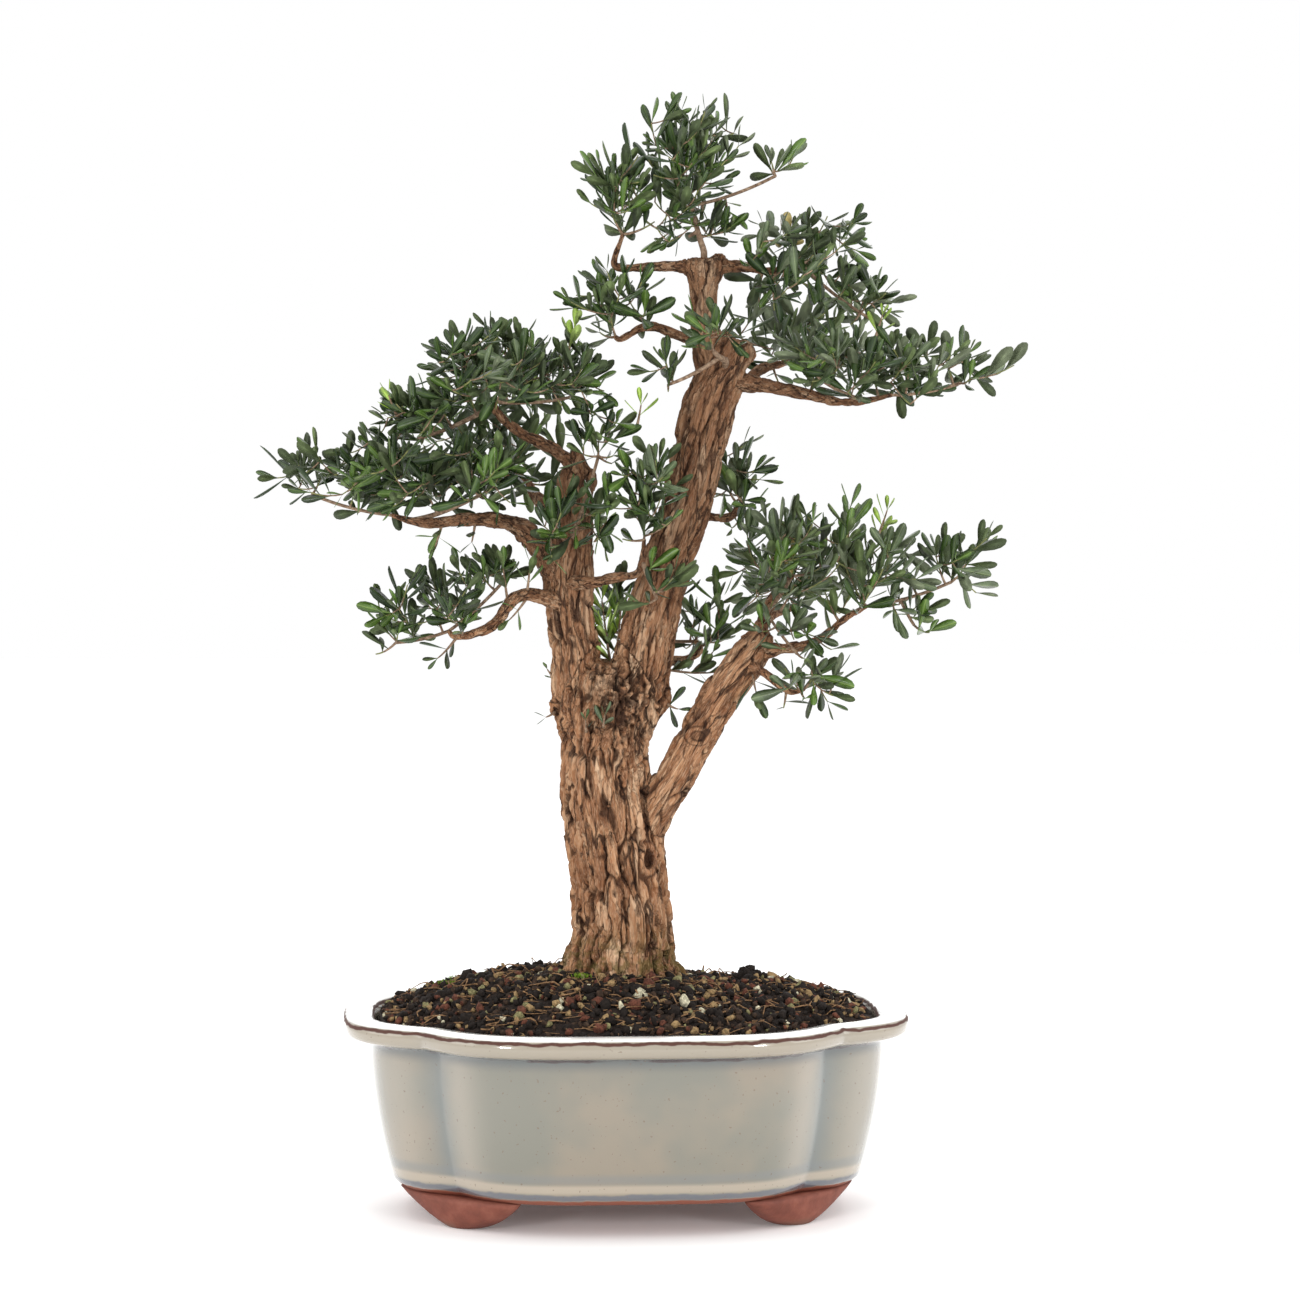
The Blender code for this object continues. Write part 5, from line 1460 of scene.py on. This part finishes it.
soil = {
    "top": 0.150,
    "edge": 0.1240,
    "base": 0.112,
    "domePower": 1.6,
    "tilt": 0.012,  # the left side is higher by this slope
    "backSlope": 0.075,
    "dip": (0.055, 0.034, 0.0052),  # where the mound sinks: x, half width and depth
    "pad": 0.36,
    "inset": 0.0232,
    "grid": (40, 28, 3),
    "rings": 46,
    "lumps": ((0.0016, 0.006), (0.00096, 0.0022)),  # height, size
    "colour": (0.020, 0.013, 0.010),
    "grains": 6200,
    "seed": 8,
    "reach": 0.985,  # grains lie inside this share of the bed
    "grainSizes": (0.35, 1.0),  # share of the kind's largest
    "dents": (0.60, 1.25),  # how far a grain's corners stand out
    "flatness": (0.38, 1.1),
    "grainLift": (-0.2, 0.70),  # in grain sizes
    "stump": (-0.003, 0.032),  # x and radius: no grain lies inside
    "kinds": {  # share of the grains, colour, largest size
        "clods": (0.07, (0.014, 0.010, 0.008), 0.0058),
        "peat": (0.48, (0.014, 0.010, 0.008), 0.0038),
        "loam": (0.24, (0.042, 0.025, 0.016), 0.0038),
        "tan": (0.062, (0.250, 0.165, 0.078), 0.0046),
        "cream": (0.014, (0.520, 0.480, 0.340), 0.0054),
        "red": (0.052, (0.100, 0.036, 0.022), 0.0048),
        "olive": (0.034, (0.190, 0.172, 0.080), 0.0046),
    },
    "clumps": ((0.0790, 0.0100, 0.0050, 46), (-0.0540, 0.0100, 0.0050, 34)),  # x, y, spread, grains
    "clumpHeight": 0.0070,
    "clumpSizes": (0.0016, 0.0034),
    "clumpDents": (0.72, 1.2),
    "clumpLifts": (0.3, 1.0),
    "shreds": 820,
    "shredLengths": (0.006, 0.022),
    "shredRadii": (0.0002, 0.0006),
    "shredShares": (0.06, 0.93),  # they lie evenly between these places on the bed
    "shredLift": 0.0018,
    "shredTilts": (-0.15, 0.2),
    "shredBow": 0.12,
    "shredColour": (0.22, 0.125, 0.062),
    "moss": ((-0.106, 0.034, 0.006), (-0.112, 0.012, 0.006), (-0.030, -0.040, 0.005)),  # x, y, spread
    "mossBlades": 90,
    "mossLift": 0.0015,
    "mossLean": 0.0008,
    "mossHeights": (0.0015, 0.0030),
    "mossRadii": (0.00035, 0.00008),
    "mossColour": (0.155, 0.250, 0.020),
}


def soilHeight(share, x, y):
    slope = np.clip((share - soil["pad"]) / (1 - soil["pad"]), 0.0, 1.0)
    middle, half, depth = soil["dip"]
    inner = 1 - np.clip(share, 0.0, 1.0) ** 4
    uneven = -soil["tilt"] * x - depth * hump(x, middle, half) - soil["backSlope"] * np.maximum(y, 0.0)
    return soil["top"] - (soil["top"] - soil["edge"]) * slope ** soil["domePower"] + uneven * inner


def soilPoint(share, x, y, lift):
    return np.array([x, y, float(soilHeight(share, x, y)) + lift])


def earthFinish(name, colour):
    f = Finish(name)
    grit = f.speckle(f.place(), 520.0, 4.0, 0.65)
    return f.paint({
        "Base Color": f.mix(f.step(grit, 0.35, 0.68), shaded(colour, 0.55), shaded(colour, 1.5)),
        "Roughness": 0.92,
        "Normal": f.bump(grit, 0.7, 0.0006),
        "Specular IOR Level": 0.2,
    })


def roundShell():
    # twelve corners and twenty faces of a round stone
    golden = (1 + math.sqrt(5)) / 2
    corners = []
    for a, b in itertools.product((-1, 1), (-golden, golden)):
        corners += [(0, a, b), (a, b, 0), (b, 0, a)]
    corners = np.array(corners) / math.hypot(1, golden)
    edge = 2 / math.hypot(1, golden) * 1.05
    faces = []
    for trio in itertools.combinations(range(12), 3):
        a, b, c = corners[list(trio)]
        if max(np.linalg.norm(a - b), np.linalg.norm(b - c), np.linalg.norm(a - c)) < edge:
            outward = np.dot(np.cross(b - a, c - a), a + b + c) > 0
            faces.append(trio if outward else (trio[0], trio[2], trio[1]))
    return corners, np.array(faces)


def addGrains(shapes, rng, reachAt):
    # loose grit of every kind over the whole bed
    shell, faces = roundShell()
    halfLength, halfDepth = (pot[key] / 2 - soil["inset"] for key in ("length", "depth"))
    stumpX, stumpRadius = soil["stump"]
    kinds = list(shapes)
    chances = np.array([soil["kinds"][kind][0] for kind in kinds])
    placed = 0
    while placed < soil["grains"]:
        x, y = rng.uniform(-halfLength, halfLength), rng.uniform(-halfDepth, halfDepth)
        share = math.hypot(x, y) / reachAt(x, y)
        if share > soil["reach"] or math.hypot(x - stumpX, y) < stumpRadius:
            continue
        kind = kinds[rng.choice(len(kinds), p=chances / chances.sum())]
        size = soil["kinds"][kind][2] * rng.uniform(*soil["grainSizes"]) ** 1.2
        spin = np.linalg.qr(rng.normal(size=(3, 3)))[0]
        if np.linalg.det(spin) < 0:
            spin[:, 0] *= -1
        stone = shell * rng.uniform(*soil["dents"], (12, 1)) * rng.uniform(*soil["flatness"], 3)
        stone = stone @ spin.T * size
        shapes[kind].add(stone + soilPoint(share, x, y, rng.uniform(*soil["grainLift"]) * size), tris=faces)
        placed += 1
    heaps = [heap[:3] for heap in soil["clumps"] for _ in range(heap[3])]
    for middleX, middleY, spread in heaps:
        size = rng.uniform(*soil["clumpSizes"])
        x, y = rng.normal(size=2) * spread
        heap = soil["clumpHeight"] * math.exp(-(x * x + y * y) / (2 * spread * spread))
        lift = heap * rng.uniform(*soil["clumpLifts"])
        stone = shell * rng.uniform(*soil["clumpDents"], (12, 1)) * size
        shapes["clods"].add(stone + soilPoint(0.5, middleX + x, middleY + y, lift), tris=faces)
    print("soil grains:", placed)


def addShreds(shape, rng, reachAt):
    # bark shreds and root threads that lie on the soil
    for _ in range(soil["shreds"]):
        turn, share = rng.uniform(-math.pi, math.pi), math.sqrt(rng.uniform(*soil["shredShares"]))
        reach = reachAt(math.cos(turn), math.sin(turn)) * share
        place = soilPoint(share, reach * math.cos(turn), reach * math.sin(turn), soil["shredLift"])
        heading, length = rng.uniform(0, 2 * math.pi), rng.uniform(*soil["shredLengths"])
        tilt = rng.uniform(*soil["shredTilts"])
        way = np.array([math.cos(heading), math.sin(heading), tilt]) * length / 2
        bow = rng.normal(size=3) * length * soil["shredBow"]
        radius = rng.uniform(*soil["shredRadii"])
        stops = [(*(place - way), radius), (*(place + bow), radius), (*(place + way), radius * 0.5)]
        shape.add(*courseTube(smoothCourse(stops, 0.003), 4))


def addMoss(shape, rng, reachAt):
    for x, y, spread in soil["moss"]:
        share = math.hypot(x, y) / reachAt(x, y)
        for _ in range(soil["mossBlades"]):
            dx, dy = rng.normal(size=2) * spread * 0.5
            foot = soilPoint(share, x, y, soil["mossLift"]) + (dx, dy, 0.0)
            leanX, leanY = (rng.normal() * soil["mossLean"] for _ in range(2))
            tip = foot + (leanX, leanY, rng.uniform(*soil["mossHeights"]))
            shape.add(*courseTube([(*foot, soil["mossRadii"][0]), (*tip, soil["mossRadii"][1])], 3))


def buildSoil():
    rng = np.random.default_rng(soil["seed"])
    rings = [lobedOutline(soil["inset"], soil["base"], 1.0, soil["grid"])]
    for share in np.linspace(1.0, 0.02, soil["rings"]):
        ring = lobedOutline(soil["inset"], 0.0, share, soil["grid"])
        ring[:, 2] = soilHeight(share, ring[:, 0], ring[:, 1])
        ring[:, 2] += sum(height * softNoise(ring, size) for height, size in soil["lumps"])
        rings.append(ring)
    moistSoil = earthFinish("moist soil", soil["colour"])
    addPiece("soil_bed", Shape(*ringTube(rings)), [moistSoil], ("soil",))
    edge = lobedOutline(soil["inset"], 0.0, 1.0, soil["grid"])
    edge = edge[np.arctan2(edge[:, 1], edge[:, 0]).argsort()]
    edgeAngles, edgeReach = np.arctan2(edge[:, 1], edge[:, 0]), np.linalg.norm(edge[:, :2], axis=1)

    def reachAt(x, y):
        # how far the bed reaches in a direction
        return np.interp(math.atan2(y, x), edgeAngles, edgeReach, period=2 * math.pi)

    grains = {kind: Shape() for kind in soil["kinds"]}
    addGrains(grains, rng, reachAt)
    for kind, shape in grains.items():
        material = earthFinish(f"{kind} grit", soil["kinds"][kind][1])
        addPiece(f"soil_{kind}", shape, [material], flat=True)
    shreds, moss = Shape(), Shape()
    addShreds(shreds, rng, reachAt)
    addPiece("soil_shreds", shreds, [earthFinish("bark shreds", soil["shredColour"])])
    addMoss(moss, rng, reachAt)
    addPiece("moss_tufts", moss, [earthFinish("moss", soil["mossColour"])])


# Floor, light and camera

studio = {
    "floorColour": (0.99, 0.99, 0.99, 1.0),
    "floorReach": 6.0,
    "floorGlow": 0.055,
    "world": 1.0,
    "lamps": {  # place, energy, size
        "overhead": ((0.0, 0.3, 2.4), 18.0, 2.4),
        "left box": ((-2.2, -0.5, 1.2), 9.5, 1.5),
        "right box": ((2.2, -0.4, 1.2), 12.5, 1.5),
        "back box": ((0.2, 2.2, 1.5), 16.0, 2.4),
        "left strip": ((-1.2, -1.9, 0.62), 12.5, 0.33),
        "right strip": ((1.2, -1.9, 0.62), 11.5, 0.33),
    },
    "aim": (0.0, 0.0, 0.30),
}

camera = {
    "distance": 2.60,
    "height": 0.50,
    "azimuth": math.radians(-3.5),
    "focal": 114.3,
    "sensor": 36.0,
    "middle": (0.016, 0.0, 0.0),  # where the view's axis passes the pot, from its middle
    "pitch": math.radians(3.22),
}


def buildStudio():
    scene = bpy.context.scene
    mesh = bpy.data.meshes.new("floor")
    reach = studio["floorReach"]
    corners = [(x * reach, y * reach, 0) for x, y in ((-1, -1), (1, -1), (1, 1), (-1, 1))]
    mesh.from_pydata(corners, [], [(0, 1, 2, 3)])
    mesh.materials.append(Finish("pale floor").paint({
        "Base Color": studio["floorColour"],
        "Roughness": 0.9,
        "Specular IOR Level": 0.1,
        "Emission Color": studio["floorColour"],
        "Emission Strength": studio["floorGlow"],
    }))
    floor = linked("floor", mesh)
    scene.world = bpy.data.worlds.new("studio")
    scene.world.use_nodes = True
    backdrop = scene.world.node_tree.nodes["Background"]
    backdrop.inputs["Color"].default_value = (1.0, 1.0, 1.0, 1.0)
    backdrop.inputs["Strength"].default_value = studio["world"]
    for name, (place, energy, size) in studio["lamps"].items():
        data = bpy.data.lights.new(name, "AREA")
        data.energy = energy
        data.size = size
        lamp = linked(name, data)
        lamp.location = Vector(place)
        lamp.rotation_euler = (Vector(studio["aim"]) - Vector(place)).to_track_quat("-Z", "Y").to_euler()
    scene.view_settings.view_transform = "Standard"
    scene.view_settings.look = "None"


def buildCamera():
    data = bpy.data.cameras.new("camera")
    data.lens = camera["focal"]
    data.sensor_width = camera["sensor"]
    data.clip_end = 50.0
    item = linked("camera", data)
    turn = camera["azimuth"]
    back = np.array([math.sin(turn), -math.cos(turn), 0.0])
    place = potMiddle + np.array(camera["middle"]) + back * camera["distance"]
    item.location = Vector(place) + Vector((0, 0, camera["height"]))
    item.rotation_euler = (math.pi / 2 - camera["pitch"], 0.0, turn)
    bpy.context.scene.camera = item


buildStudio()
buildCamera()
buildPot()
buildFeet()
buildSoil()
buildTrunk()
buildBoughs()
buildFoliage()
